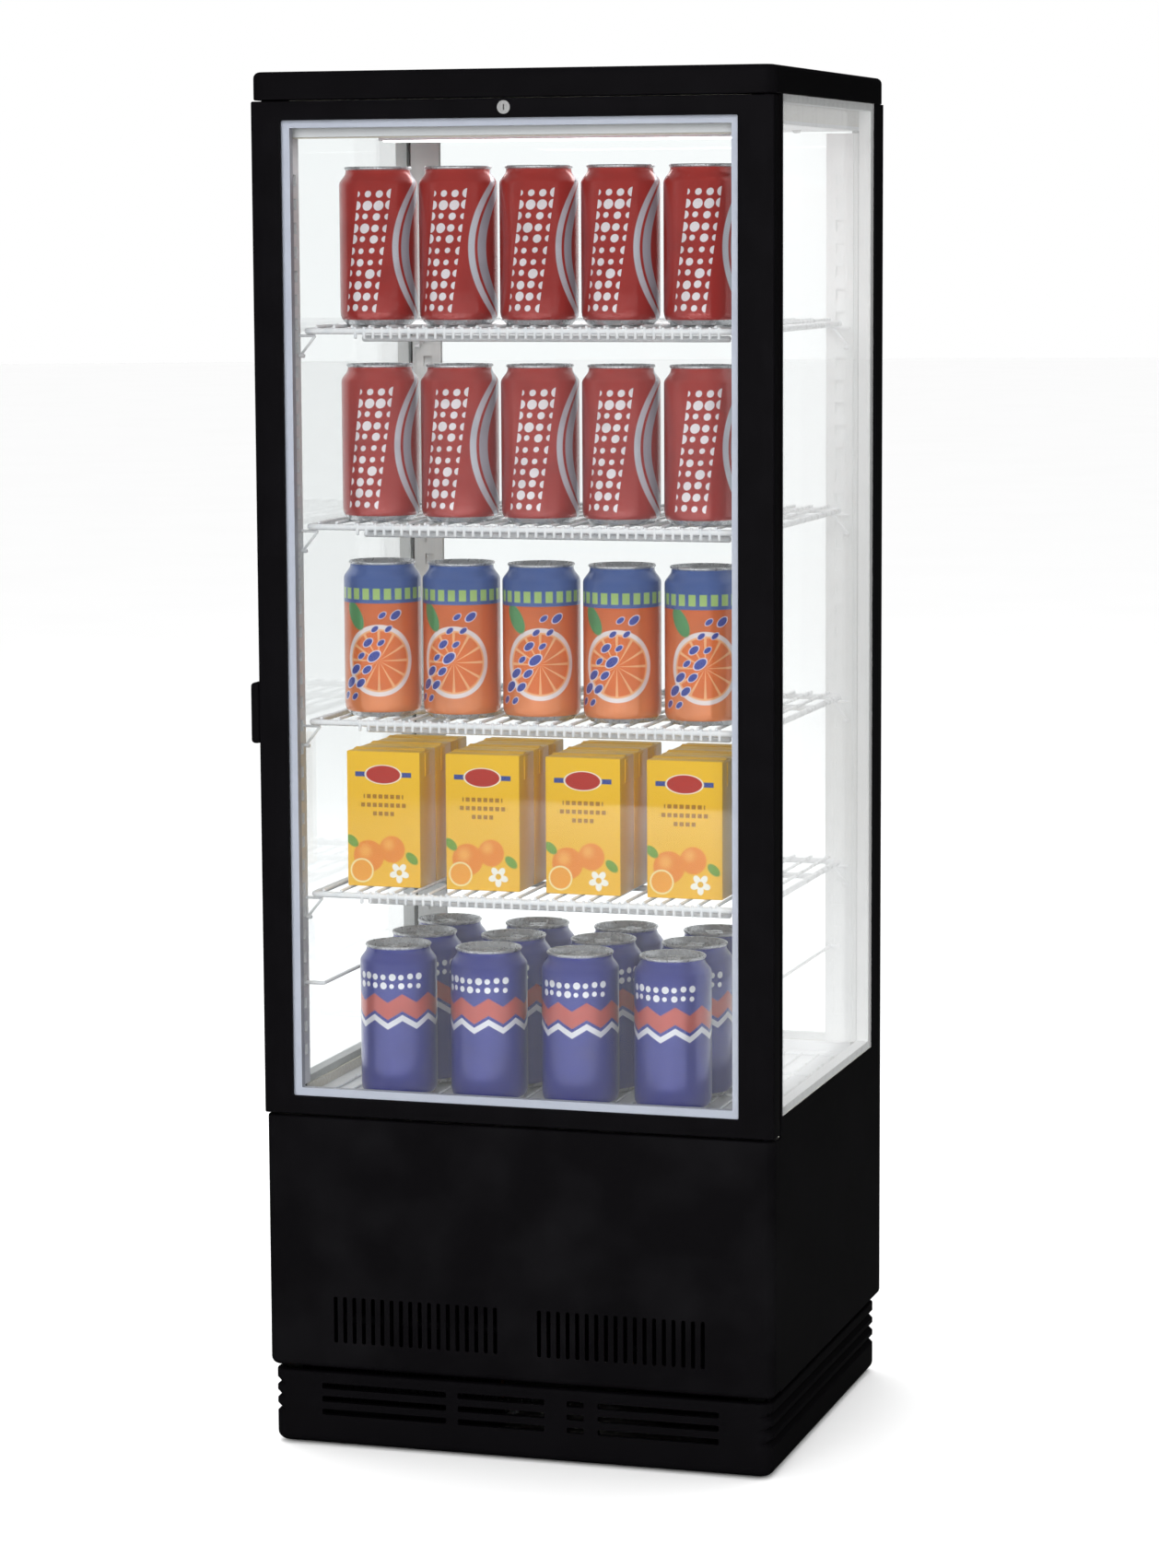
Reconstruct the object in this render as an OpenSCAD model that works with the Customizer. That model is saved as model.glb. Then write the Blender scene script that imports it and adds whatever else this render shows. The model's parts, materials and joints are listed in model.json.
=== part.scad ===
// Upright four-sided glass drinks display cooler for a counter top.
// X runs to the right, Y to the back and Z up. The origin is on the floor
// under the middle of the body. All sizes are in millimetres.

/* [Cabinet] */
// Width across the top cap
cab_w = 428; // [420:1:440]
// Depth from the face of the door to the rear cover
cab_d = 370; // [364:1:380]
// Height from the floor to the top of the cap
cab_h = 1110; // [1100:1:1130]
// How far the panels stand in from the edge of the cap
panel_inset = 1; // [0.5:0.5:2]
// Height of the top cap
cap_h = 22; // [18:1:26]
// Corner radius of the cap and the plinth in plan
corner_r = 12; // [8:1:16]

/* [Base] */
// Top of the slotted plinth
plinth_top = 62; // [58:1:64]
// Bottom edge of the lower panels
panel_bottom = 70; // [68:1:76]
// Top edge of the front panel
panel_top = 274; // [268:1:274]
// Top edge of the side panels, where the side glass starts
side_top = 290; // [288:1:292]
// Thickness of the folded sheet panels
sheet_t = 1.5; // [1:0.1:1.8]
// Slots in each of the two vent groups of the front panel
vent_slots = 18; // [8:1:18]
// Distance from one vent slot to the next
vent_pitch = 8; // [7:0.1:8]

/* [Door] */
// Bottom edge of the door
door_bottom = 276; // [276:1:278]
// Thickness of the door frame
door_t = 21; // [19:1:21]
// Width of the stile on the handle side
stile_handle = 24.5; // [22:0.5:26]
// Width of the stile on the hinge side
stile_hinge = 29; // [27:0.5:30]
// Height of the top and bottom rails of the door
rail_h = 15; // [14:0.5:16]
// Height of the door handle
handle_h = 49; // [40:1:60]

/* [Shelves] */
// Heights of the loading faces of the shelves, from the top one down
shelf_z = [911, 754.5, 596.5, 456];
// Width of a wire shelf
shelf_w = 368; // [360:1:370]
// Depth of a wire shelf
shelf_d = 290; // [270:1:292]
// Distance from one shelf wire to the next
wire_pitch = 15; // [12:1:30]

/* [Stock] */
// Diameter of a drinks can
can_d = 62.5; // [60:0.5:64]
// Height of a drinks can
can_h = 125; // [115:1:127]
// Width, depth and height of a juice carton
carton = [64, 40, 112];

/* [Hidden] */
$fn = 48;

// Half sizes and faces of the body
half_w = cab_w / 2 - panel_inset;
front_y = -cab_d / 2;
rear_y = cab_d / 2;
cap_z = cab_h - cap_h;

// Base
plinth_in = 3;
plinth_wall = 6;
plinth_foot = 2;
plate_z = 12;
plate_t = 1.5;
deck_z = plate_z + plate_t;
foot_r = 15;
foot_x = 178;
foot_y = 150;
return_d = 22;
base_foam_z = 168;
floor_z = 279;
floor_t = 3;
rack_h = 2.5;
load_z = floor_z + floor_t + rack_h;

// Front air slots in the plinth: middle and width of each column, heights of the rows
plinth_cols = [[-114.5, 107], [-14.6, 74], [48, 15], [117, 101]];
plinth_rows = [29, 39.8, 50.6];
plinth_slot_h = 5.4;
groove_d = 3.2;

// Vent groups of the front panel
vent_x = [-158, 15];
vent_w = 4;
vent_z = [88, 127];

// Door, which turns on pins near its right-hand front corner
door_back = front_y + door_t;
door_top = cap_z - 1;
glass_l = -half_w + stile_handle;
glass_r = half_w - stile_hinge;
glass_z0 = door_bottom + rail_h;
glass_z1 = door_top - rail_h;
hinge_x = half_w - 8;
hinge_y = front_y + 8;
hinge_pin_r = 3;
gasket_t = 3;
lock_x = -3;
lock_z = 1080;

// How far the door glass goes behind the stiles and the bottom rail, and behind the top rail under the lock
lap = 7;
lap_top = 2.5;

// Glazing
post_y = front_y + door_t + gasket_t;
glass_y0 = post_y + 4;
glass_y1 = 150;
pane_t = 4;
unit_t = 16;
inner_x = half_w - unit_t - 2;
rear_pane_y = rear_y - 2;
ceiling_z = 1066;
post_leg = 24;

// Slots in the standards, and the tray and gland at the back
slot_z = [318:19:ceiling_z - 30];
tray_x = [-185, -8];
tray_z = [72.2, 84];
gland_x = -160;
gland_z = 130;
gland_bore = 3.6;
knob_x = 150;
knob_z = 210;
rocker_z = 183;

// Suction pipe that rises through the foamed base
pipe_r = 2.6;
pipe_x = -10;
pipe_y = 10;

// Wire sizes
bar_r = 2.4;
wire_r = 1.3;
shelf_y0 = -150;

// Colours
black = [0.07, 0.065, 0.075];
white = [0.93, 0.94, 0.95];
steel = [0.72, 0.73, 0.75];
copper = [0.78, 0.45, 0.3];
clear = [0.8, 0.9, 0.92, 0.35];

// A box given by its lowest and highest corners
module block(lo, hi) {
    translate(lo) cube(hi - lo);
}

// A slab centred in plan with round corners
module rounded_slab(w, d, r, z0, z1) {
    translate([0, 0, z0]) linear_extrude(z1 - z0) rounded_outline(w, d, r);
}

module rounded_outline(w, d, r) {
    square([w - 2 * r, d], center = true);
    square([w, d - 2 * r], center = true);
    for (sx = [-1, 1], sy = [-1, 1]) {
        translate([sx * (w / 2 - r), sy * (d / 2 - r)]) circle(r);
    }
}

// Round bars along each axis
module bar_x(x0, x1, y, z, r) {
    translate([x0, y, z]) rotate([0, 90, 0]) cylinder(h = x1 - x0, r = r, $fn = 24);
}

module bar_y(x, y0, y1, z, r) {
    translate([x, y0, z]) rotate([-90, 0, 0]) cylinder(h = y1 - y0, r = r, $fn = 24);
}

module bar_z(x, y, z0, z1, r) {
    translate([x, y, z0]) cylinder(h = z1 - z0, r = r, $fn = 24);
}

// A slot with round ends cut through a wall that faces the front or the back
module upright_slot(x, z0, z1, w, y0, y1) {
    translate([x, y1, 0]) rotate([90, 0, 0]) linear_extrude(y1 - y0) {
        translate([-w / 2, z0 + w / 2]) square([w, z1 - z0 - w]);
        translate([0, z0 + w / 2]) circle(w / 2);
        translate([0, z1 - w / 2]) circle(w / 2);
    }
}

// ---- Base ----

module plinth() {
    w = 2 * (half_w - plinth_in);
    d = cab_d - 2 * plinth_in;
    color(black) difference() {
        rounded_slab(w, d, corner_r, plinth_foot, plinth_top);
        rounded_slab(w - 2 * plinth_wall, d - 2 * plinth_wall, corner_r / 2, 0, plinth_top + 1);
        for (z = plinth_rows) {
            for (c = plinth_cols) {
                x = c[0];
                reach = c[1] / 2;
                block([x - reach, front_y, z - plinth_slot_h / 2], [x + reach, -150, z + plinth_slot_h / 2]);
            }
            for (side = [-1, 1]) {
                translate([side * w / 2, 0, z]) rotate([0, 45, 0]) {
                    cube([groove_d * 1.4, d + 10, groove_d * 1.4], center = true);
                }
            }
        }
    }
}

module base_plate() {
    w = 2 * (half_w - plinth_in - plinth_wall);
    d = cab_d - 2 * plinth_in - 2 * plinth_wall;
    color(steel) difference() {
        rounded_slab(w, d, corner_r / 2, plate_z, deck_z + 8);
        rounded_slab(w - 2 * plate_t, d - 2 * plate_t, corner_r / 2 - plate_t, deck_z, deck_z + 20);
        for (i = [0:5]) {
            block([-150 + 22 * i, -120, 0], [-140 + 22 * i, -40, deck_z + 1]);
        }
    }
}

module rubber_feet() {
    color([0.1, 0.1, 0.1]) for (sx = [-1, 1], sy = [-1, 1]) {
        translate([sx * foot_x, sy * foot_y, 0]) {
            cylinder(h = plate_z, r1 = foot_r - 2, r2 = foot_r);
        }
    }
}

module front_panel() {
    color(black) difference() {
        intersection() {
            rounded_slab(2 * half_w, cab_d, corner_r, panel_bottom - 4, panel_top);
            block([-half_w, front_y, 0], [half_w, front_y + return_d, cab_h]);
        }
        difference() {
            rounded_slab(2 * (half_w - 2), cab_d - 4, corner_r - 2, panel_bottom, panel_top - 2);
            block([-half_w, front_y, 0], [half_w, front_y + 2, cab_h]);
        }
        rounded_slab(2 * (half_w - 8), cab_d - 16, corner_r - 2, 0, panel_bottom + 1);
        block([-half_w + 12, front_y + 12, panel_top - 5], [half_w - 12, 0, panel_top + 5]);
        translate([hinge_x, hinge_y, panel_top - 5]) cylinder(h = 10, r = hinge_pin_r + 0.3);
        for (g = vent_x, i = [0:vent_slots - 1]) {
            upright_slot(g + vent_pitch * (i + 0.5), vent_z[0], vent_z[1], vent_w, front_y - 1, front_y + return_d);
        }
    }
}

// A sheet folded in along its bottom edge, and stepped back behind the door and the front post
module side_panel(side) {
    y0 = front_y + return_d;
    y1 = rear_y - sheet_t;
    fold = 7;
    color(black) mirror([side < 0 ? 1 : 0, 0, 0]) {
        translate([half_w - sheet_t, 0, 0]) rotate([90, 0, 90]) linear_extrude(sheet_t) {
            polygon([
                [y0, panel_bottom], [y1, panel_bottom], [y1, side_top], [glass_y0, side_top],
                [glass_y0, floor_z], [post_y, floor_z], [post_y, panel_top], [y0, panel_top]
            ]);
        }
        block([half_w - fold, y0, panel_bottom - sheet_t], [half_w, y1, panel_bottom]);
    }
}

module side_panel_left() {
    side_panel(-1);
}

module side_panel_right() {
    side_panel(1);
}

module rear_cover() {
    gap = 0.4;
    color(black) difference() {
        block([-half_w, rear_y - sheet_t, panel_bottom], [half_w, rear_y, side_top]);
        for (row = [0:5], col = [-1, 1]) {
            translate([col * 62, rear_y, 96 + 10 * row]) cube([100, 10, 4], center = true);
        }
        block([tray_x[0] - gap, rear_y - 5, tray_z[0] - gap], [tray_x[1] + gap, rear_y + 1, tray_z[1] + gap]);
        translate([knob_x, rear_y - 5, knob_z]) rotate([-90, 0, 0]) cylinder(h = 10, r = 4.1);
        translate([knob_x, rear_y, rocker_z]) cube([16.6, 10, 12.6], center = true);
        translate([gland_x, rear_y - 5, gland_z]) rotate([-90, 0, 0]) cylinder(h = 10, r = 8);
    }
    color(black) for (x = tray_x) {
        block([x - 5, 60, panel_bottom], [x + 5, rear_y - sheet_t, tray_z[0] - gap]);
    }
}

// Screwed gland where the mains lead enters
module cable_gland() {
    color(black) translate([gland_x, rear_y, gland_z]) rotate([-90, 0, 0]) difference() {
        union() {
            translate([0, 0, -8]) cylinder(h = 8, r = 8);
            cylinder(h = 3, r = 11, $fn = 6);
            translate([0, 0, 3]) cylinder(h = 5, r1 = 9, r2 = 6);
        }
        translate([0, 0, -9]) cylinder(h = 20, r = gland_bore);
    }
}

// Four angle uprights that carry the foamed base on the base plate
module compartment_frame() {
    x1 = half_w - plinth_in - plinth_wall - plate_t;
    y1 = rear_y - plinth_in - plinth_wall - plate_t - 3;
    color(steel) for (sx = [0, 1], sy = [0, 1]) {
        mirror([sx, 0, 0]) mirror([0, sy, 0]) difference() {
            block([x1 - 14, y1 - 14, deck_z], [x1, y1, base_foam_z]);
            block([x1 - 20, y1 - 20, deck_z + 1.5], [x1 - 1.5, y1 - 1.5, base_foam_z - 1.5]);
        }
    }
}

// Screws with domed heads that hold the rear cover
module panel_screws() {
    color(steel) for (x = [-200, 0, 200], z = [160, 240]) {
        translate([x, rear_y, z]) rotate([-90, 0, 0]) cylinder(h = 1.6, r1 = 4, r2 = 3);
    }
}

// Foamed base that closes the cold space and holds the evaporator
module insulated_base() {
    color([0.85, 0.85, 0.82]) difference() {
        union() {
            block([-half_w + sheet_t, post_y + 1, base_foam_z], [half_w - sheet_t, rear_y - sheet_t, floor_z]);
            block([-half_w + sheet_t, glass_y0, floor_z], [half_w - sheet_t, rear_y - sheet_t, side_top]);
        }
        block([-inner_x, front_y, floor_z], [inner_x, rear_pane_y - unit_t, side_top + 1]);
        block([-165, -90, base_foam_z + 26], [165, 110, floor_z + 1]);
        block([100, 140, base_foam_z - 1], [180, rear_y, 225]);
        translate([pipe_x, pipe_y, base_foam_z - 1]) cylinder(h = 30, r = 3);
    }
}

module evaporator() {
    fins = 20;
    color(steel) {
        for (i = [0:fins - 1]) {
            translate([-150 + i * 9, -60, base_foam_z + 30]) cube([0.6, 90, 50]);
        }
        block([-152, -60, base_foam_z + 26], [23, -57, base_foam_z + 31]);
        block([-152, 27, base_foam_z + 26], [23, 30, base_foam_z + 31]);
    }
    color(copper) for (row = [0:1], col = [0:2]) {
        bar_x(-156, 27, -45 + 30 * col, base_foam_z + 43 + 24 * row, 4);
    }
}

module evaporator_fan_plate() {
    color(white) difference() {
        block([40, -88, 262], [160, 88, 264]);
        translate([100, 0, 250]) cylinder(h = 30, r = 46);
    }
    color(white) for (a = [0, 120, 240]) {
        translate([100, 0, 231]) rotate([0, 0, a]) translate([15, -3, 0]) cube([48, 6, 3]);
    }
    color(white) for (a = [0, 120, 240]) {
        translate([100, 0, 234]) rotate([0, 0, a]) translate([57, -3, 0]) cube([6, 6, 28]);
    }
}

module evaporator_fan_motor() {
    color(steel) {
        translate([100, 0, 212]) cylinder(h = 26, r = 15);
        translate([100, 0, 238]) cylinder(h = 16, r = 2.5);
    }
}

// Fan rotor about an upright shaft at the origin
module rotor(r, hub_r, hub_h, bore_r, blades) {
    difference() {
        union() {
            cylinder(h = hub_h, r = hub_r);
            for (i = [0:blades - 1]) {
                rotate([0, 0, i * 360 / blades]) translate([hub_r - 1.5, 0, hub_h / 2]) rotate([28, 0, 0]) {
                    translate([0, -r * 0.2, -0.6]) cube([r - hub_r, r * 0.4, 1.2]);
                }
            }
        }
        translate([0, 0, -1]) cylinder(h = hub_h + 2, r = bore_r);
    }
}

module evaporator_fan() {
    color(black) translate([100, 0, 240]) rotor(43, 13, 12, 2.55, 5);
}

// ---- Cold space ----

module floor_panel() {
    color(white) difference() {
        union() {
            block([-inner_x, glass_y0, floor_z], [inner_x, rear_pane_y - unit_t, floor_z + floor_t]);
            block([-inner_x, glass_y0, floor_z], [inner_x, glass_y0 + 5, floor_z + 11]);
            block([-half_w + post_leg, post_y, floor_z], [half_w - post_leg, glass_y0, floor_z + 11]);
            block([-inner_x, rear_pane_y - unit_t - 4, floor_z], [inner_x, rear_pane_y - unit_t, floor_z + 11]);
        }
        for (i = [0:8]) {
            block([66 + 8 * i, -36, floor_z - 1], [70 + 8 * i, 36, floor_z + floor_t + 1]);
        }
        for (i = [0:14]) {
            block([-154 + 20 * i, 84, floor_z - 1], [-142 + 20 * i, 100, floor_z + floor_t + 1]);
        }
    }
}

module floor_rack() {
    z = floor_z + floor_t + rack_h / 2;
    color(white) {
        for (y = [-140, -50, 50, 140]) {
            bar_x(-183, 183, y, z, rack_h / 2);
        }
        for (i = [-6:6]) {
            bar_y(i * 30, -140.4, 140.4, z + 0.15, rack_h / 2 - 0.2);
        }
    }
}

module front_post(side) {
    color(black) mirror([side < 0 ? 1 : 0, 0, 0]) {
        block([half_w - post_leg, post_y, floor_z], [half_w, post_y + 4, cap_z]);
        block([inner_x - 2, post_y + 4, side_top], [inner_x, post_y + 22, ceiling_z]);
    }
}

module front_posts() {
    front_post(-1);
    front_post(1);
}

// Hollow corner post with a rebate for the side and the rear glass
module rear_post(side) {
    color(black) mirror([side < 0 ? 1 : 0, 0, 0]) difference() {
        block([half_w - post_leg, glass_y1, side_top], [half_w, rear_y, cap_z]);
        block([half_w - post_leg + 8, glass_y1 + 8, side_top - 1], [half_w - 2, rear_y - 2, cap_z]);
        block([0, rear_pane_y - unit_t, side_top - 1], [half_w - post_leg + 6, rear_y + 1, cap_z]);
    }
}

module rear_posts() {
    rear_post(-1);
    rear_post(1);
}

// Slotted standards that carry the shelf clips
module front_pilasters() {
    color(white) for (side = [-1, 1]) {
        mirror([side < 0 ? 1 : 0, 0, 0]) difference() {
            block([inner_x - 5, glass_y0, side_top + 4], [inner_x - 2, glass_y0 + 18, ceiling_z - 2]);
            for (z = slot_z) {
                block([inner_x - 6, glass_y0 + 6, z], [inner_x - 1, glass_y0 + 12, z + 9]);
            }
        }
    }
}

module rear_pilasters() {
    z0 = side_top + 4;
    z1 = ceiling_z - 2;
    color(steel) for (side = [-1, 1]) {
        mirror([side < 0 ? 1 : 0, 0, 0]) difference() {
            union() {
                block([168, glass_y1 - 4, z0], [191, glass_y1, z1]);
                block([190, glass_y1 - 1.5, z0], [inner_x - 0.3, glass_y1, z1]);
            }
            block([170, glass_y1 - 2.8, z0 - 1], [189, glass_y1 - 1.2, z1 + 1]);
            for (z = slot_z) {
                block([176, glass_y1 - 5, z], [184, glass_y1 - 2, z + 9]);
            }
        }
    }
}

// Two panes of a sealed unit for the side, with its outer face flush with the posts
module side_glass(side) {
    color(clear) mirror([side < 0 ? 1 : 0, 0, 0]) {
        block([half_w - pane_t, glass_y0, side_top], [half_w, glass_y1, cap_z]);
        block([inner_x, glass_y0, side_top], [inner_x + pane_t, glass_y1, cap_z]);
    }
}

module glass_left() {
    side_glass(-1);
}

module glass_right() {
    side_glass(1);
}

module glass_rear() {
    x = half_w - post_leg + 6;
    color(clear) {
        block([-x, rear_pane_y - pane_t, side_top], [x, rear_pane_y, cap_z]);
        block([-x, rear_pane_y - unit_t, side_top], [x, rear_pane_y - unit_t + pane_t, cap_z]);
    }
}

// Spacer bars between the panes: an upright frame seen along X, moved to its place
module spacer_frame(w, h, t) {
    difference() {
        cube([w, t, h]);
        translate([6, -1, 6]) cube([w - 12, t + 2, h - 12]);
    }
}

module glass_spacers() {
    h = cap_z - side_top;
    t = unit_t - 2 * pane_t;
    side_t = half_w - pane_t - inner_x - pane_t;
    x = half_w - post_leg + 6;
    color(steel) {
        for (side = [-1, 1]) {
            mirror([side < 0 ? 1 : 0, 0, 0]) translate([half_w - pane_t, glass_y0, side_top]) {
                rotate([0, 0, 90]) spacer_frame(glass_y1 - glass_y0, h, side_t);
            }
        }
        translate([-x, rear_pane_y - pane_t - t, side_top]) spacer_frame(2 * x, h, t);
    }
}

// One clip under each corner of each shelf
module shelf_clips() {
    drop = 2 * wire_r + 2 * bar_r;
    color(white) for (z = shelf_z, side = [-1, 1]) {
        mirror([side < 0 ? 1 : 0, 0, 0]) {
            block([shelf_w / 2 - 8, -146, z - drop - 12], [inner_x - 5, -140, z - drop]);
            block([shelf_w / 2 - 8, shelf_y0 + shelf_d - 10, z - drop - 12], [184, glass_y1 - 4, z - drop]);
        }
    }
}

// Spare side rails left hooked in the standards below the lowest shelf
module spare_shelf_rails() {
    z = 378;
    color(white) for (side = [-1, 1]) {
        mirror([side < 0 ? 1 : 0, 0, 0]) {
            bar_y(174, -148, 139, z, 1.5);
            bar_x(173, inner_x - 5, -148, z, 1.45);
            bar_x(173, 181, 139, z, 1.45);
            bar_y(180, 138.5, glass_y1 - 3, z, 1.4);
        }
    }
}

// A welded wire shelf whose loading face is at height z
module wire_shelf(z) {
    x = shelf_w / 2;
    y1 = shelf_y0 + shelf_d;
    bar_z0 = z - 2 * wire_r - bar_r;
    runs = floor((shelf_w - 20) / wire_pitch);
    color(white) {
        for (i = [0:runs]) {
            bar_y((i - runs / 2) * wire_pitch, shelf_y0, y1, z - wire_r, wire_r);
        }
        for (y = [shelf_y0 + bar_r, -50, 50, y1 - bar_r]) {
            bar_x(-x, x, y, bar_z0 + 0.2, bar_r);
        }
        for (side = [-1, 1]) {
            bar_y(side * (x - bar_r), shelf_y0, y1, bar_z0 + 0.2, bar_r);
        }
        bar_x(-140, 165, -132, z - 12, bar_r);
        for (px = [-120, 0, 145]) {
            bar_z(px, -132, z - 12, z - 1, 1.5);
        }
    }
}

module shelf_1() {
    wire_shelf(shelf_z[0]);
}

module shelf_2() {
    wire_shelf(shelf_z[1]);
}

module shelf_3() {
    wire_shelf(shelf_z[2]);
}

module shelf_4() {
    wire_shelf(shelf_z[3]);
}

// ---- Stock ----

module can() {
    r = can_d / 2;
    neck = r * 0.82;
    rotate_extrude() {
        polygon([
            [0, 0], [neck - 2, 0], [neck, 1.5], [r, 10], [r, can_h - 13], [neck, can_h - 3],
            [neck, can_h], [neck - 2, can_h], [neck - 2, can_h - 3], [0, can_h - 3]
        ]);
    }
}

// Five cans side by side at the front of a shelf
module can_row(z, tint) {
    color(tint) for (i = [-2:2]) {
        translate([3.5 + 67.4 * i, -115, z]) can();
    }
}

module stock_1() {
    can_row(shelf_z[0], [0.62, 0.12, 0.12]);
}

module stock_2() {
    can_row(shelf_z[1], [0.62, 0.12, 0.12]);
}

module stock_3() {
    can_row(shelf_z[2], [0.9, 0.42, 0.12]);
}

module stock_4() {
    color([0.95, 0.72, 0.1]) for (i = [0:3], j = [0:2]) {
        translate([-128 + 84.5 * i - carton[0] / 2, -128 + 41 * j, shelf_z[3]]) cube(carton);
    }
}

module stock_5() {
    color([0.16, 0.2, 0.55]) for (i = [0:3], j = [0:2]) {
        translate([-119.5 + 77.5 * i, -119 + 66 * j, load_z]) can();
    }
}

// ---- Top ----

// A slab between the panes, notched round the rear posts
module ceiling_slab(z0, z1) {
    x = half_w - post_leg;
    block([-inner_x, glass_y0, z0], [inner_x, glass_y1, z1]);
    block([-x, glass_y1 - 1, z0], [x, rear_pane_y - unit_t, z1]);
}

module ceiling_panel() {
    color(white) ceiling_slab(ceiling_z, ceiling_z + 3);
}

// Foamed frame that ties the posts together under the cap
module top_frame() {
    color([0.85, 0.85, 0.82]) {
        ceiling_slab(ceiling_z + 3, cap_z);
        block([-half_w + post_leg, post_y, ceiling_z - 8], [half_w - post_leg, glass_y0, cap_z]);
    }
}

module top_cap() {
    slot_y = front_y + door_t - 1;
    color(black) difference() {
        rounded_slab(cab_w, cab_d, corner_r, cap_z, cab_h);
        difference() {
            rounded_slab(cab_w - 6, cab_d - 6, corner_r - 3, cap_z - 1, cab_h - 10);
            block([-cab_w, front_y, 0], [cab_w, front_y + 30, cab_h]);
            for (side = [-1, 1]) {
                block([side * half_w - 30, -cab_d, 0], [side * half_w + 30, cab_d, cab_h]);
            }
        }
        block([lock_x - 17, slot_y, cap_z - 1], [lock_x + 7, slot_y + 5, cap_z + 14]);
        translate([hinge_x, hinge_y, cap_z - 1]) cylinder(h = 13, r = 3);
    }
}

module lamp_housing() {
    color(white) difference() {
        block([-150, -60, ceiling_z - 8], [150, -24, ceiling_z]);
        block([-147, -57, ceiling_z - 9], [147, -27, ceiling_z - 2]);
    }
}

module lamp_diffuser() {
    color([1, 1, 0.98]) block([-147, -57, ceiling_z - 9], [147, -27, ceiling_z - 6]);
}

module ceiling_screws() {
    color(steel) for (x = [-116, 20, 154], y = [-100, 100]) {
        translate([x, y, ceiling_z - 2.5]) cylinder(h = 2.5, r1 = 2.6, r2 = 4);
    }
}

// ---- Door ----

// Pins the door turns on: the lower one on its bracket, the upper one in the cap
module hinge_brackets() {
    bracket_z = panel_top - 7;
    pin_in_door = 9;
    pin_in_cap = 11;
    color(black) {
        block([hinge_x - 9, hinge_y, bracket_z], [hinge_x + 4, post_y + 1, bracket_z + 1.5]);
        translate([hinge_x, hinge_y, bracket_z]) {
            cylinder(h = 1.5, r = 4);
            cylinder(h = door_bottom + pin_in_door - bracket_z, r = hinge_pin_r);
        }
        translate([hinge_x, hinge_y, door_top - pin_in_door]) {
            cylinder(h = cap_z + pin_in_cap - door_top + pin_in_door, r = hinge_pin_r);
        }
    }
}

module door_frame() {
    color(black) difference() {
        intersection() {
            rounded_slab(2 * half_w, cab_d, 4, door_bottom, door_top);
            block([-half_w, front_y, 0], [half_w, door_back, cab_h]);
        }
        block([glass_l, front_y - 1, glass_z0], [glass_r, 0, glass_z1]);
        block([glass_l - lap - 1, front_y + 3, glass_z0 - lap - 1], [glass_r + lap + 1, 0, glass_z1 + lap_top + 0.5]);
        for (z = [door_bottom - 1, door_top - 10]) {
            translate([hinge_x, hinge_y, z]) cylinder(h = 11, r = hinge_pin_r + 0.05);
        }
        translate([lock_x, front_y - 1, lock_z]) rotate([-90, 0, 0]) cylinder(h = door_t + 2, r = 4.5);
        translate([half_w + 0.5, door_back + 0.5, 0]) rotate([0, 0, 45]) {
            cube([7, 7, 3 * cab_h], center = true);
        }
    }
}

module door_glass() {
    x0 = glass_l - lap;
    x1 = glass_r + lap;
    z0 = glass_z0 - lap;
    z1 = glass_z1 + lap_top;
    color(clear) {
        block([x0, front_y + 3, z0], [x1, front_y + 6, z1]);
        block([x0, front_y + 13, z0], [x1, front_y + 16, z1]);
    }
}

// Pale spacer and inner rim that show round the door glass
module door_liner() {
    rim = 6;
    color([0.75, 0.76, 0.78]) {
        difference() {
            block([glass_l - lap, front_y + 6, glass_z0 - lap], [glass_r + lap, front_y + 13, glass_z1 + lap_top]);
            block([glass_l + rim, 2 * front_y, glass_z0 + rim], [glass_r - rim, 0, glass_z1 - rim]);
        }
        difference() {
            block([glass_l - lap, front_y + 16, glass_z0 - lap], [glass_r + lap, door_back, glass_z1 + lap_top]);
            block([glass_l, 2 * front_y, glass_z0], [glass_r, 0, glass_z1]);
        }
    }
}

module door_gasket() {
    y1 = door_back + gasket_t - 0.3;
    color([0.2, 0.2, 0.21]) difference() {
        block([-half_w + 8, door_back, door_bottom + 4], [half_w - 14, y1, door_top - 18]);
        block([-half_w + 18, -cab_d, door_bottom + 14], [half_w - 24, 0, door_top - 28]);
    }
}

// Grip on the edge of the door, held by two pegs
module door_handle() {
    z0 = 601.5 - handle_h / 2;
    color(black) difference() {
        translate([0, door_back - 1, 0]) rotate([90, 0, 0]) linear_extrude(door_t - 2) {
            translate([-half_w - 4, 601.5]) rounded_outline(8, handle_h, 3);
            translate([-half_w - 4, z0 + 3]) square([4, handle_h - 6]);
        }
        block([-half_w - 5, door_back - 9, z0 + 6], [-half_w - 2, door_back + 1, z0 + handle_h - 6]);
    }
}

module lock_collar() {
    color([0.8, 0.8, 0.82]) translate([lock_x, front_y - 1, lock_z]) rotate([-90, 0, 0]) difference() {
        union() {
            cylinder(h = 1, r = 5.2);
            cylinder(h = 14, r = 4.5);
        }
        translate([0, 0, -1]) cylinder(h = 20, r = 3.45);
    }
}

// Key barrel with its cam, which lies along the rail while unlocked
module lock_barrel() {
    color([0.7, 0.7, 0.72]) translate([lock_x, front_y - 0.8, lock_z]) rotate([-90, 0, 0]) {
        difference() {
            union() {
                cylinder(h = door_t + 1.2, r = 3.4);
                translate([0, 0, door_t + 1.2]) cylinder(h = 2, r = 4);
            }
            translate([-0.5, -2.2, -1]) cube([1, 4.4, 5]);
        }
        translate([-16, -3, door_t + 1.2]) cube([16, 6, 2]);
    }
}

// ---- Cooling unit ----

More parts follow.
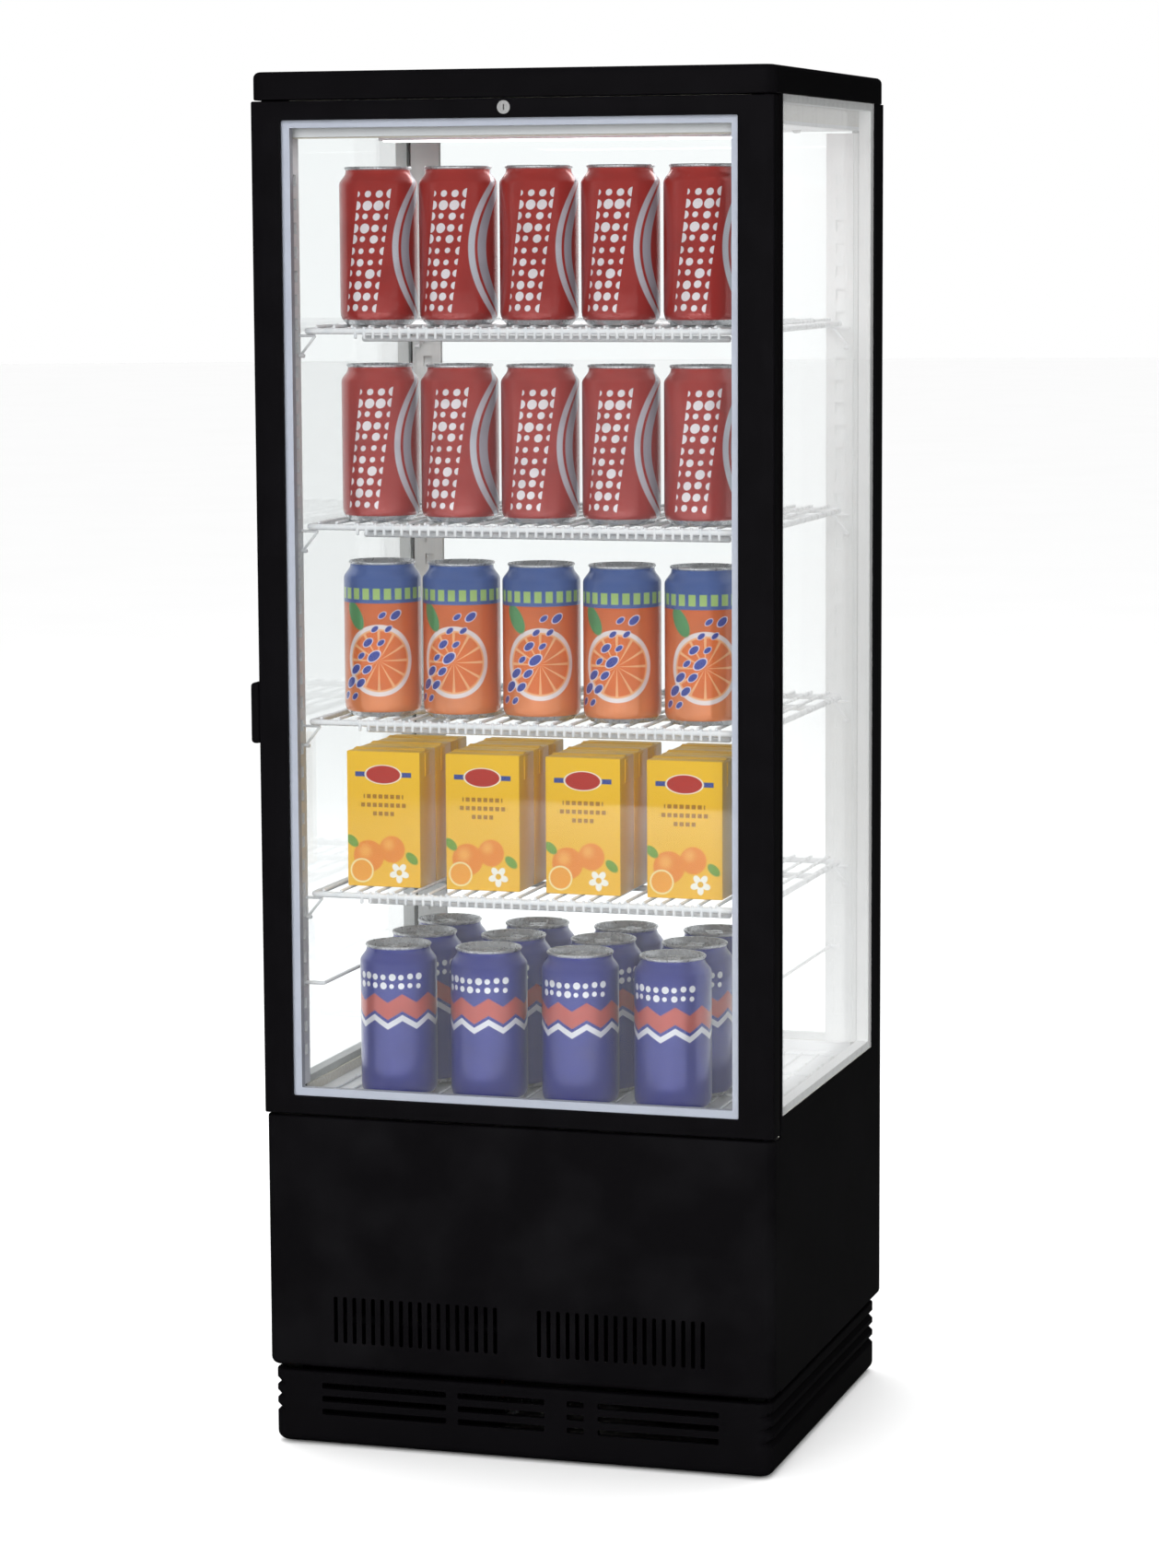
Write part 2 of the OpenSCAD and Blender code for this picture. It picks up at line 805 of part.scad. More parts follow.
module compressor() {
    color(black) translate([95, 60, 0]) {
        translate([0, 0, 34]) cylinder(h = 78, r = 58);
        translate([0, 0, 112]) cylinder(h = 26, r1 = 58, r2 = 34);
        translate([0, 0, 24]) cylinder(h = 10, r1 = 44, r2 = 58);
        difference() {
            translate([0, 0, 23]) cube([170, 96, 3], center = true);
            for (sx = [-1, 1], sy = [-1, 1]) {
                translate([sx * 75, sy * 38, 0]) cylinder(h = 40, r = 6);
            }
        }
        translate([-78, -22, 60]) cube([22, 44, 40]);
    }
}

module compressor_mounts() {
    color([0.12, 0.12, 0.12]) for (sx = [-1, 1], sy = [-1, 1]) {
        translate([95 + sx * 75, 60 + sy * 38, deck_z]) {
            cylinder(h = 8, r = 9);
            cylinder(h = 13, r = 5.95);
        }
    }
}

module condenser() {
    fins = 24;
    color(steel) for (i = [0:fins - 1]) {
        translate([-196 + i * 7, -150, deck_z + 12]) cube([0.6, 34, 118]);
    }
    color(steel) for (z = [deck_z, deck_z + 130]) {
        block([-196, -150, z], [-34.4, -116, z + 12]);
    }
    color(copper) for (row = [0:3], col = [0:1]) {
        bar_x(-201, -29, -142 + 18 * col, deck_z + 28 + 28 * row, 4);
    }
}

module condenser_shroud() {
    color(black) difference() {
        block([-196, -115, deck_z], [-34, -112, 158]);
        translate([-115, -130, 84]) rotate([-90, 0, 0]) cylinder(h = 30, r = 66);
    }
    color(black) for (a = [45, 135, 225, 315]) {
        translate([-115, -76, 84]) rotate([0, a, 0]) translate([20, 0, -3]) cube([52, 3, 6]);
    }
    color(black) for (a = [45, 135, 225, 315]) {
        translate([-115, -112, 84]) rotate([0, a, 0]) translate([68, 0, -3]) cube([4, 36, 6]);
    }
}

module condenser_fan_motor() {
    color(steel) translate([-115, -86, 84]) rotate([-90, 0, 0]) {
        cylinder(h = 34, r = 20);
        translate([0, 0, -22]) cylinder(h = 22, r = 3);
    }
}

module condenser_fan() {
    color(black) translate([-115, -108, 84]) rotate([-90, 0, 0]) rotor(62, 17, 14, 3.05, 5);
}

// Pipes run along straight legs with round elbows
module pipe(route, r) {
    for (i = [0:len(route) - 2]) {
        leg = route[i + 1] - route[i];
        length = norm(leg);
        translate(route[i]) rotate([0, acos(leg[2] / length), atan2(leg[1], leg[0])]) {
            cylinder(h = length, r = r, $fn = 24);
        }
    }
    for (i = [1:len(route) - 2]) {
        translate(route[i]) sphere(r, $fn = 24);
    }
}

module copper_pipes() {
    color(copper) {
        pipe([[95, 60, 139], [95, 60, 152], [-26, 60, 152], [-26, -142, 152], [-26, -142, 41.6]], pipe_r);
        pipe([[-24, -124, 126], [-24, -124, 112], [pipe_x, -100, 112], [pipe_x, -80, 112]], pipe_r);
        translate([pipe_x, -80, 112]) rotate([-90, 0, 0]) cylinder(h = 60, r = 8);
        pipe([[pipe_x, -20, 112], [pipe_x, pipe_y, 112], [pipe_x, pipe_y, 160], [pipe_x, pipe_y, 194.5]], pipe_r);
    }
}

// ---- Controls ----

module thermostat_knob() {
    color(black) translate([knob_x, rear_y - 8, knob_z]) rotate([-90, 0, 0]) {
        cylinder(h = 10, r = 4);
        translate([0, 0, 8.5]) difference() {
            cylinder(h = 9, r1 = 14, r2 = 12.5);
            for (a = [0:30:330]) {
                rotate([0, 0, a]) translate([14.4, 0, 1]) cylinder(h = 10, r = 1.6, $fn = 16);
            }
            translate([-0.6, 3, 8]) cube([1.2, 12, 2]);
        }
    }
}

module light_switch() {
    color([0.15, 0.15, 0.16]) translate([knob_x, rear_y, rocker_z]) {
        intersection() {
            translate([0, -1, 0]) rotate([0, 90, 0]) cylinder(h = 16, r = 6, center = true);
            translate([-8, -8, -6]) cube([16, 12, 12]);
        }
    }
}

module drip_tray() {
    color([0.25, 0.25, 0.27]) difference() {
        block([tray_x[0], 30, tray_z[0]], [tray_x[1], rear_y + 8, tray_z[1]]);
        block([tray_x[0] + 2, 32, tray_z[0] + 2], [tray_x[1] - 2, rear_y - 3, tray_z[1] + 1]);
    }
}

plinth();
base_plate();
rubber_feet();
front_panel();
side_panel_left();
side_panel_right();
rear_cover();
panel_screws();
insulated_base();
evaporator();
evaporator_fan_plate();
evaporator_fan_motor();
evaporator_fan();
floor_panel();
floor_rack();
front_posts();
rear_posts();
compartment_frame();
cable_gland();
front_pilasters();
rear_pilasters();
glass_left();
glass_right();
glass_rear();
glass_spacers();
shelf_clips();
spare_shelf_rails();
shelf_1();
shelf_2();
shelf_3();
shelf_4();
stock_1();
stock_2();
stock_3();
stock_4();
stock_5();
ceiling_panel();
top_frame();
top_cap();
lamp_housing();
lamp_diffuser();
ceiling_screws();
hinge_brackets();
door_frame();
door_glass();
door_liner();
door_gasket();
door_handle();
lock_collar();
lock_barrel();
compressor();
compressor_mounts();
condenser();
condenser_shroud();
condenser_fan_motor();
condenser_fan();
copper_pipes();
thermostat_knob();
light_switch();
drip_tray();
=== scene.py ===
"""Finished look of an upright drinks display cooler with glass on all four sides.

The cooler stands on the floor at the origin, faces -Y and is built in metres. Each sub-assembly is a
class that holds its own sizes, shapes its pieces with bmesh operators and hands them to their bodies.
"""

import json
import logging
import math
from dataclasses import dataclass, field
from enum import Enum

import bmesh
import bpy
from mathutils import Matrix, Vector

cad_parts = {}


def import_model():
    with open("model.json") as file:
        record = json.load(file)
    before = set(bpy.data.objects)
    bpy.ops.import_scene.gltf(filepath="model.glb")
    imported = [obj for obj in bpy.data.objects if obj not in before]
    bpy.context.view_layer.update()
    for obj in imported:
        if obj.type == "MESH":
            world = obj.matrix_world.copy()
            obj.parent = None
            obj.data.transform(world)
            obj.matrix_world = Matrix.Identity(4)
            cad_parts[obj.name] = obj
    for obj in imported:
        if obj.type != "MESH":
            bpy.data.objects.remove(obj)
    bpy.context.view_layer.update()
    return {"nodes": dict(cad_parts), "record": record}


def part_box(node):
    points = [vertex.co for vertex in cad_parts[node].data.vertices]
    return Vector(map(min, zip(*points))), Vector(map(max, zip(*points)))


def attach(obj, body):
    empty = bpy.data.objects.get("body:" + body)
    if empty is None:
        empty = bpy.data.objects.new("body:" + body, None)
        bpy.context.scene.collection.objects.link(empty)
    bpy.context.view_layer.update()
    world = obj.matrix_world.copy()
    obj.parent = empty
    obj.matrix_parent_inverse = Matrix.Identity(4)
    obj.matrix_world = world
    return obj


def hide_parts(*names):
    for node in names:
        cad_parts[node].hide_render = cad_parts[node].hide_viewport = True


MM = 0.001
HAIR = 0.01 * MM
SMOOTH_ANGLE = math.radians(35)
log = logging.getLogger("cooler")


def linear(hex_colour: str) -> tuple[float, float, float, float]:
    """Turns an sRGB colour into the linear values that shaders take.

    Args:
        hex_colour: Six hexadecimal digits, such as "d0d4d6".

    Returns:
        Linear red, green and blue, and an alpha of 1.
    """
    channels = [int(hex_colour[i : i + 2], 16) / 255 for i in (0, 2, 4)]
    bent = [c / 12.92 if c <= 0.04045 else ((c + 0.055) / 1.055) ** 2.4 for c in channels]
    return bent[0], bent[1], bent[2], 1.0


# ---------------------------------------------------------------- shader building


class Shader:
    """A material in the making: a principled surface and the nodes that feed it."""

    def __init__(self, name: str) -> None:
        """Starts an empty material.

        Args:
            name: The material's name, in a maker's words.
        """
        self.material = bpy.data.materials.new(name)
        self.material.use_nodes = True
        self.tree = self.material.node_tree
        self.tree.nodes.clear()
        self.surface = self.add("ShaderNodeBsdfPrincipled")
        self.output = self.add("ShaderNodeOutputMaterial")
        self.tree.links.new(self.surface.outputs[0], self.output.inputs["Surface"])

    def add(self, kind: str, settings: dict | None = None, inputs: dict | None = None) -> bpy.types.Node:
        """Adds one node with its settings and links.

        Args:
            kind: The node's type name.
            settings: Attribute values of the node.
            inputs: Input name or number to a constant, an output socket or a Pattern.

        Returns:
            The new node.
        """
        node = self.tree.nodes.new(kind)
        for key, value in (settings or {}).items():
            setattr(node, key, value)
        for key, value in (inputs or {}).items():
            self.feed(node, key, value)
        return node

    def feed(self, node: bpy.types.Node, key: str | int, value: object) -> None:
        """Sets an input to a constant, or links it to a socket or a Pattern."""
        value = value.socket if isinstance(value, Pattern) else value
        if isinstance(value, bpy.types.NodeSocket):
            self.tree.links.new(value, node.inputs[key])
        else:
            node.inputs[key].default_value = value

    def set(self, **values: object) -> None:
        """Feeds the principled surface; underscores in names stand for spaces."""
        for key, value in values.items():
            self.feed(self.surface, key.replace("_", " "), value)

    def place(self) -> bpy.types.NodeSocket:
        """The point on the object, in metres."""
        return self.add("ShaderNodeTexCoord").outputs["Object"]

    def grain(self, size_mm: float, detail: float = 3.0, stretch: tuple = (1, 1, 1)) -> "Pattern":
        """Cloudy noise.

        Args:
            size_mm: Size of one blotch in millimetres.
            detail: How many finer layers are added.
            stretch: Scale along each axis before the noise is taken.

        Returns:
            A value near 0.5 that varies from about 0.25 to 0.75.
        """
        mapped = self.add("ShaderNodeMapping", {}, {"Vector": self.place(), "Scale": stretch})
        settings = {"Vector": mapped.outputs[0], "Scale": 1 / (size_mm * MM), "Detail": detail}
        return Pattern(self, self.add("ShaderNodeTexNoise", {}, settings).outputs["Fac"])

    def label(self) -> tuple["Pattern", "Pattern"]:
        """Across and up on a printed wrap, in millimetres, from the piece's own UV map."""
        split = self.add("ShaderNodeSeparateXYZ", {}, {0: self.add("ShaderNodeUVMap").outputs[0]})
        return Pattern(self, split.outputs[0]) / MM, Pattern(self, split.outputs[1]) / MM

    def bubbles(
        self, across: "Pattern", up: "Pattern", cell_mm: float, fill: float, scatter: float = 0.5
    ) -> "Pattern":
        """Round dots scattered one to a cell.

        Args:
            across: Position across the print in millimetres.
            up: Position up the print in millimetres.
            cell_mm: Size of a cell.
            fill: Radius of a dot as a part of a cell.
            scatter: How far a dot strays from the middle of its cell.

        Returns:
            1 inside the dots and 0 outside. No dot is cut by the edge of its cell.
        """
        shift = (1 - scatter) / 2
        spot = self.add("ShaderNodeCombineXYZ", {}, {0: across / cell_mm - shift, 1: up / cell_mm - shift})
        cells = self.add(
            "ShaderNodeTexVoronoi",
            {"voronoi_dimensions": "2D"},
            {"Vector": spot.outputs[0], "Scale": 1.0, "Randomness": scatter},
        )
        chance = self.add("ShaderNodeSeparateColor", {}, {0: cells.outputs["Color"]})
        radius = Pattern(self, chance.outputs[0]) * (0.45 * fill) + 0.55 * fill
        return Pattern(self, cells.outputs["Distance"]).below(radius, 0.03)

    def paint(self, under: object, mask: "Pattern", colour: object) -> bpy.types.NodeSocket:
        """Lays a colour over another where a mask is 1.

        Args:
            under: Colour below: a hex string or a socket.
            mask: Where the new colour shows.
            colour: Colour on top: a hex string or a socket.

        Returns:
            The mixed colour.
        """
        pair = [linear(c) if isinstance(c, str) else c for c in (under, colour)]
        mix = self.add("ShaderNodeMix", {"data_type": "RGBA"}, {0: mask, 6: pair[0], 7: pair[1]})
        return mix.outputs[2]

    def layers(self, under: object, *coats: tuple["Pattern", str]) -> bpy.types.NodeSocket:
        """Lays colours over one another, each where its own mask is 1."""
        for mask, colour in coats:
            under = self.paint(under, mask, colour)
        return under

    def let_lamps_through(self) -> None:
        """Lets the light of lamps pass straight through, as thin clear glass does."""
        rays = self.add("ShaderNodeLightPath")
        clear = self.add("ShaderNodeBsdfTransparent")
        sides = {0: rays.outputs["Is Shadow Ray"], 1: self.surface.outputs[0], 2: clear.outputs[0]}
        mix = self.add("ShaderNodeMixShader", {}, sides)
        self.tree.links.new(mix.outputs[0], self.output.inputs["Surface"])

    def bump(self, height: "Pattern", depth_mm: float, strength: float = 1.0) -> None:
        """Raises the surface by a pattern.

        Args:
            height: The pattern.
            depth_mm: Height difference between 0 and 1 of the pattern.
            strength: How much of it shows.
        """
        settings = {"Height": height, "Distance": depth_mm * MM, "Strength": strength}
        self.set(Normal=self.add("ShaderNodeBump", {}, settings).outputs[0])


class Pattern:
    """A number that varies over a surface, with the usual arithmetic."""

    def __init__(self, shader: Shader, socket: bpy.types.NodeSocket) -> None:
        """Wraps an output socket of a shader."""
        self.shader = shader
        self.socket = socket

    def combine(self, operation: str, *others: object) -> "Pattern":
        """This pattern and others put through one arithmetic operation."""
        inputs = dict(enumerate((self, *others)))
        node = self.shader.add("ShaderNodeMath", {"operation": operation}, inputs)
        return Pattern(self.shader, node.outputs[0])

    def __add__(self, other: object) -> "Pattern":
        """The sum."""
        return self.combine("ADD", other)

    def __sub__(self, other: object) -> "Pattern":
        """The difference."""
        return self.combine("SUBTRACT", other)

    def __mul__(self, other: object) -> "Pattern":
        """The product."""
        return self.combine("MULTIPLY", other)

    def __truediv__(self, other: object) -> "Pattern":
        """The quotient."""
        return self.combine("DIVIDE", other)

    def above(self, edge: object, soft: float = 0.2) -> "Pattern":
        """1 where the pattern is above an edge and 0 below, with a soft step."""
        step = (self - edge) / (2 * soft) + 0.5
        return step.combine("MAXIMUM", 0.0).combine("MINIMUM", 1.0)

    def below(self, edge: object, soft: float = 0.2) -> "Pattern":
        """1 where the pattern is below an edge and 0 above, with a soft step."""
        return self.above(edge, soft) * -1.0 + 1.0

    def between(self, low: object, high: object, soft: float = 0.2) -> "Pattern":
        """1 between two edges."""
        return self.above(low, soft) * self.below(high, soft)

    def near(self, other: object, reach: object, soft: float = 0.2) -> "Pattern":
        """1 within a reach of another value."""
        return (self - other).combine("ABSOLUTE").below(reach, soft)

    def zigzag(self, period: float) -> "Pattern":
        """Goes up and down between 0 and half the period."""
        return self.combine("PINGPONG", period / 2)

    def distance(self, other: "Pattern", x: float, y: float, flat: float = 1.0) -> "Pattern":
        """Distance of (this, other) from a point, with the second axis scaled by flat."""
        across = (self - x).combine("POWER", 2.0)
        up = ((other - y) * flat).combine("POWER", 2.0)
        return (across + up).combine("SQRT")


# ---------------------------------------------------------------- finishes


@dataclass(frozen=True)
class PowderCoat:
    """Folded steel with baked powder paint: satin, with a fine orange peel."""

    name: str
    colour: str
    roughness: float = 0.42
    peel_mm: float = 1.6

    def build(self) -> bpy.types.Material:
        """Makes the material."""
        shader = Shader(self.name)
        peel = shader.grain(self.peel_mm, 2.0)
        cloud = shader.grain(60.0, 2.0)
        shader.set(Base_Color=shader.paint(self.colour, cloud.above(0.62, 0.2) * 0.06, "3a3a3e"))
        shader.set(Roughness=cloud * 0.12 + (self.roughness - 0.06), Specular_IOR_Level=0.2)
        shader.bump(peel, 0.04, 0.35)
        return shader.material


@dataclass(frozen=True)
class MouldedPlastic:
    """Injection-moulded ABS: even colour, fine spark-eroded grain, soft sheen."""

    name: str
    colour: str
    shade: str
    roughness: float = 0.4
    grain_mm: float = 0.9
    specular: float = 0.3

    def build(self) -> bpy.types.Material:
        """Makes the material."""
        shader = Shader(self.name)
        grain = shader.grain(self.grain_mm, 3.0)
        cloud = shader.grain(45.0, 3.0)
        shader.set(Base_Color=shader.paint(self.colour, cloud.above(0.55, 0.15) * 0.35, self.shade))
        shader.set(Roughness=grain * 0.14 + (self.roughness - 0.07), Specular_IOR_Level=self.specular)
        shader.bump(grain, 0.05, 0.3)
        return shader.material


@dataclass(frozen=True)
class DrawnMetal:
    """Extruded or rolled metal with lines along its length, anodised or plated."""

    name: str
    colour: str
    shade: str
    metallic: float = 1.0
    roughness: float = 0.34
    line_mm: float = 0.8
    specular: float = 0.5

    def build(self) -> bpy.types.Material:
        """Makes the material."""
        shader = Shader(self.name)
        lines = shader.grain(self.line_mm, 2.0, (1, 1, 0.02))
        cloud = shader.grain(30.0, 2.0)
        streaks = (lines + cloud).above(1.05, 0.25) * 0.6
        shader.set(Base_Color=shader.paint(self.colour, streaks, self.shade), Metallic=self.metallic)
        shader.set(Roughness=lines * 0.2 + (self.roughness - 0.1), Specular_IOR_Level=self.specular)
        shader.bump(lines, 0.02, 0.4)
        return shader.material


@dataclass(frozen=True)
class Rubber:
    """Extruded or pressed rubber: matt, with a faint bloom."""

    name: str
    colour: str
    bloom: str

    def build(self) -> bpy.types.Material:
        """Makes the material."""
        shader = Shader(self.name)
        bloom = shader.grain(14.0, 4.0)
        shader.set(Base_Color=shader.paint(self.colour, bloom.above(0.56, 0.12) * 0.4, self.bloom))
        shader.set(Roughness=bloom * 0.2 + 0.6, Specular_IOR_Level=0.3)
        shader.bump(shader.grain(0.7, 2.0), 0.04, 0.3)
        return shader.material


@dataclass(frozen=True)
class DippedWire:
    """Steel wire dipped in white polyethylene: thick, glossy and slightly uneven."""

    name: str = "polyethylene_dipped_wire"
    colour: str = "f4f6f8"
    drip: str = "dfe5ea"

    def build(self) -> bpy.types.Material:
        """Makes the material."""
        shader = Shader(self.name)
        runs = shader.grain(7.0, 2.0)
        shader.set(Base_Color=shader.paint(self.colour, runs.above(0.55, 0.1) * 0.5, self.drip))
        shader.set(Roughness=runs * 0.2 + 0.18)
        shader.bump(runs, 0.12, 0.3)
        return shader.material


@dataclass(frozen=True)
class FloatGlass:
    """Clear float glass: colourless, with hardly any surface relief.

    Its index is set below the 1.5 of real glass, so that panes behind one another mirror less of the studio.
    """

    name: str = "float_glass"
    colour: str = "feffff"
    ior: float = 1.22

    def build(self) -> bpy.types.Material:
        """Makes the material."""
        shader = Shader(self.name)
        roller = shader.grain(160.0, 1.0)
        shader.set(Base_Color=linear(self.colour), Transmission_Weight=1.0, IOR=self.ior, Roughness=0.0)
        shader.bump(roller, 0.01, 0.05)
        shader.let_lamps_through()
        return shader.material


@dataclass(frozen=True)
class OpalLamp:
    """Opal acrylic over light-emitting diodes: glows evenly, a little brighter over each diode."""

    name: str = "opal_lamp_cover"
    strength: float = 5.0
    diode_mm: float = 12.0

    def build(self) -> bpy.types.Material:
        """Makes the material."""
        shader = Shader(self.name)
        split = shader.add("ShaderNodeSeparateXYZ", {}, {0: shader.place()})
        along = (Pattern(shader, split.outputs[0]) / MM).zigzag(self.diode_mm)
        glow = shader.paint("ffffff", along.above(self.diode_mm / 4, 2.0) * 0.5, "fbf8ee")
        shader.set(Base_Color=linear("ffffff"), Roughness=0.35)
        shader.set(Emission_Color=glow, Emission_Strength=self.strength)
        return shader.material


@dataclass(frozen=True)
class CastFoam:
    """Skinned polyurethane foam: creamy, matt and pitted."""

    name: str = "polyurethane_foam"

    def build(self) -> bpy.types.Material:
        """Makes the material."""
        shader = Shader(self.name)
        cells = shader.grain(2.5, 4.0)
        pits = cells.above(0.5, 0.1) * 0.5
        shader.set(Base_Color=shader.paint("e9e6da", pits, "d3cdb8"), Roughness=0.85)
        shader.bump(cells, 0.3, 0.5)
        return shader.material


@dataclass(frozen=True)
class BareAluminium:
    """Bright drawn aluminium: a can's lid and base, faintly hazed."""

    name: str = "bare_can_aluminium"

    def build(self) -> bpy.types.Material:
        """Makes the material."""
        shader = Shader(self.name)
        haze = shader.grain(5.0, 3.0)
        shader.set(Base_Color=shader.paint("b4b6b9", haze.above(0.55, 0.1) * 0.3, "9a9c9f"))
        shader.set(Roughness=haze * 0.2 + 0.18, Metallic=0.55)
        shader.bump(shader.grain(1.5, 2.0), 0.01, 0.15)
        return shader.material


class Drink(Enum):
    """The plain drinks in the cooler."""

    CHERRY = "cherry"
    ORANGE = "orange"
    BERRY = "berry"


@dataclass(frozen=True)
class CanPrint:
    """Printed and varnished can wall: glossy ink over metal with a generic bubble or zigzag pattern."""

    drink: Drink

    def cherry(self, shader: Shader, across: Pattern, up: Pattern) -> bpy.types.NodeSocket:
        """Dark red with a leaning column of pale bubbles and two grey bands that curve up one flank."""
        lean = across - (up - 60.0) * 0.14
        column = lean.near(0.0, 13.5, 0.05) * up.between(9.0, 108.0, 0.05)
        bow = across.distance(up, 92.0, 60.0)
        return shader.layers(
            "a3302c",
            (up.above(70.0, 55.0) * 0.5, "b23c35"),
            (bow.between(66.0, 71.5, 0.4), "c9ccd6"),
            (bow.between(55.0, 63.5, 0.4), "a9adb9"),
            (shader.bubbles(lean, up, 9.0, 0.44, 0.1) * column, "f1eaee"),
        )

    def orange(self, shader: Shader, across: Pattern, up: Pattern) -> bpy.types.NodeSocket:
        """Orange with a cut fruit, blue bubbles, a green dashed ring and a blue shoulder."""
        fruit = across.distance(up, 6.0, 46.0)
        spokes = ((across - 6.0).combine("ARCTAN2", up - 46.0) * 6.0).combine("SINE").combine("ABSOLUTE")
        lean = across - (up - 56.0) * 0.55
        ribbon = lean.near(0.0, 11.0, 0.05) * up.between(11.0, 88.0, 0.05)
        leaf = (across + up * 0.4).distance(up, 18.0, 82.0, 0.6)
        return shader.layers(
            "dd7f45",
            (up.above(52.0, 40.0), "cf6226"),
            (fruit.below(29.0, 0.4), "e9dcdc"),
            (fruit.below(25.5, 0.4), "f2b27c"),
            (fruit.below(24.0, 0.4) * spokes.above(0.28, 0.08), "e2702c"),
            (shader.bubbles(lean, up, 11.0, 0.48, 0.02) * ribbon, "e3def0"),
            (shader.bubbles(lean, up, 11.0, 0.41, 0.02) * ribbon, "34439b"),
            (leaf.below(7.0, 0.5), "4d8f55"),
            (up.above(92.0), "46619f"),
            (up.between(95.0, 104.0) * across.zigzag(9.0).above(1.6, 0.3), "a7c878"),
        )

    def berry(self, shader: Shader, across: Pattern, up: Pattern) -> bpy.types.NodeSocket:
        """Deep blue with a row of pale dots over a red and a white zigzag band."""
        wave = up - across.zigzag(24.0) * 0.6
        row = up.between(90.0, 105.0, 0.05) * across.near(0.0, 30.0, 0.05)
        return shader.layers(
            "0e1a82",
            (up.above(45.0, 45.0) * 0.6, "18298e"),
            (wave.between(66.0, 80.0, 0.4), "b5483f"),
            (wave.between(58.0, 63.0, 0.4), "dfe0e8"),
            (row * shader.bubbles(across, up, 7.5, 0.42, 0.12), "e9ebf2"),
        )

    def build(self) -> bpy.types.Material:
        """Makes the material."""
        shader = Shader(f"varnished_can_{self.drink.value}")
        across, up = shader.label()
        ink = getattr(self, self.drink.value)(shader, across, up)
        worn = shader.grain(22.0, 4.0)
        ink = shader.paint(ink, worn.above(0.6, 0.1) * 0.12, "2b2226")
        shader.set(Base_Color=ink, Roughness=worn * 0.16 + 0.24, Metallic=0.25)
        shader.set(Coat_Weight=0.5, Coat_Roughness=0.12)
        shader.bump(shader.grain(1.2, 2.0), 0.02, 0.25)
        return shader.material


@dataclass(frozen=True)
class BoardPrint:
    """Printed and waxed carton board: yellow with fruit, a flower and a plain badge."""

    name: str = "waxed_carton_board"

    def build(self) -> bpy.types.Material:
        """Makes the material."""
        shader = Shader(self.name)
        across, up = shader.label()
        coats = [(up.above(60.0, 55.0) * 0.7, "f3c531")]
        for x, y, radius in ((-13.0, 25.0, 13.0), (7.0, 31.0, 11.0)):
            shine = across.distance(up, x - 3, y + 4).below(radius * 0.35, 3.0) * 0.5
            coats += [(across.distance(up, x, y).below(radius, 0.4), "ea8a12"), (shine, "ffc65c")]
        cut_fruit = across.distance(up, -19.0, 13.0)
        coats += [(cut_fruit.below(10.0, 0.4), "f7e2a0"), (cut_fruit.below(8.6, 0.4), "f0a01e")]
        flower = across.distance(up, 13.0, 12.0)
        turn = (across - 13.0).combine("ARCTAN2", up - 12.0) * 2.5
        petals = turn.combine("SINE").combine("ABSOLUTE") * 4.5 + 4.0
        coats += [(flower.below(petals, 0.4), "f6f4ea"), (flower.below(2.4, 0.3), "e6b422")]
        for x, y in ((24.0, 24.0), (-27.0, 37.0)):
            leaf = (across + up * 0.5).distance(up, x + y / 2, y, 0.9)
            coats.append((leaf.below(4.5, 0.5), "6f9a2c"))
        badge = across.distance(up, 0.0, 92.0, 2.0)
        coats.append((up.near(92.0, 2.0) * across.near(0.0, 24.0), "3d4f93"))
        coats += [(badge.below(16.0, 0.4), "f2ead8"), (badge.below(14.6, 0.4), "b5342a")]
        for height, width in ((74.0, 17.0), (67.0, 21.0), (60.0, 9.0)):
            dashes = up.near(height, 1.7) * across.near(0.0, width) * across.zigzag(5.0).above(0.8, 0.3)
            coats.append((dashes, "a8731a"))
        fibre = shader.grain(1.5, 4.0)
        shader.set(Base_Color=shader.layers("efb91d", *coats), Roughness=fibre * 0.2 + 0.3)
        shader.bump(fibre, 0.04, 0.3)
        return shader.material


def make_finishes() -> dict[str, bpy.types.Material]:
    """Makes one material for each material slot of the record, and the bare metal of the cans."""
    finishes = {
        "black_plastic": MouldedPlastic("black_moulded_abs", "080709", "0c0b0e", 0.46, specular=0.2),
        "black_steel": PowderCoat("black_powder_coated_steel", "080709"),
        "black_aluminium": DrawnMetal(
            "black_anodised_aluminium", "080709", "0c0b0e", 0.0, 0.42, specular=0.2
        ),
        "zinc_steel": DrawnMetal("zinc_plated_steel", "b3b5b2", "8e918f", roughness=0.36, line_mm=5.0),
        "bright_steel": DrawnMetal("nickel_plated_steel", "9c9c9c", "848484", 0.4, 0.3),
        "black_rubber": Rubber("black_rubber", "18181a", "2b2b2d"),
        "grey_plastic": MouldedPlastic("pale_grey_rim", "bcc0c9", "b0b4bf", 0.38),
        "white_plastic": MouldedPlastic("white_liner_abs", "f2f4f6", "e3e7ea", 0.32, specular=0.45),
        "white_wire": DippedWire(),
        "foam": CastFoam(),
        "aluminium_fins": DrawnMetal("rolled_aluminium_fins", "c8cacb", "a4a7a8", line_mm=2.0),
        "satin_aluminium": DrawnMetal("satin_aluminium_channel", "eceeed", "dfe2e1", 0.05, 0.45),
        "clear_glass": FloatGlass(),
        "can_red": CanPrint(Drink.CHERRY),
        "can_orange": CanPrint(Drink.ORANGE),
        "can_blue": CanPrint(Drink.BERRY),
        "juice_carton": BoardPrint(),
        "lamp_diffuser": OpalLamp(),
        "copper_tube": DrawnMetal("drawn_copper_tube", "b8734f", "8a4f38", roughness=0.3, line_mm=3.0),
        "can_lid": BareAluminium(),
    }
    return {slot: finish.build() for slot, finish in finishes.items()}


# ---------------------------------------------------------------- shaping


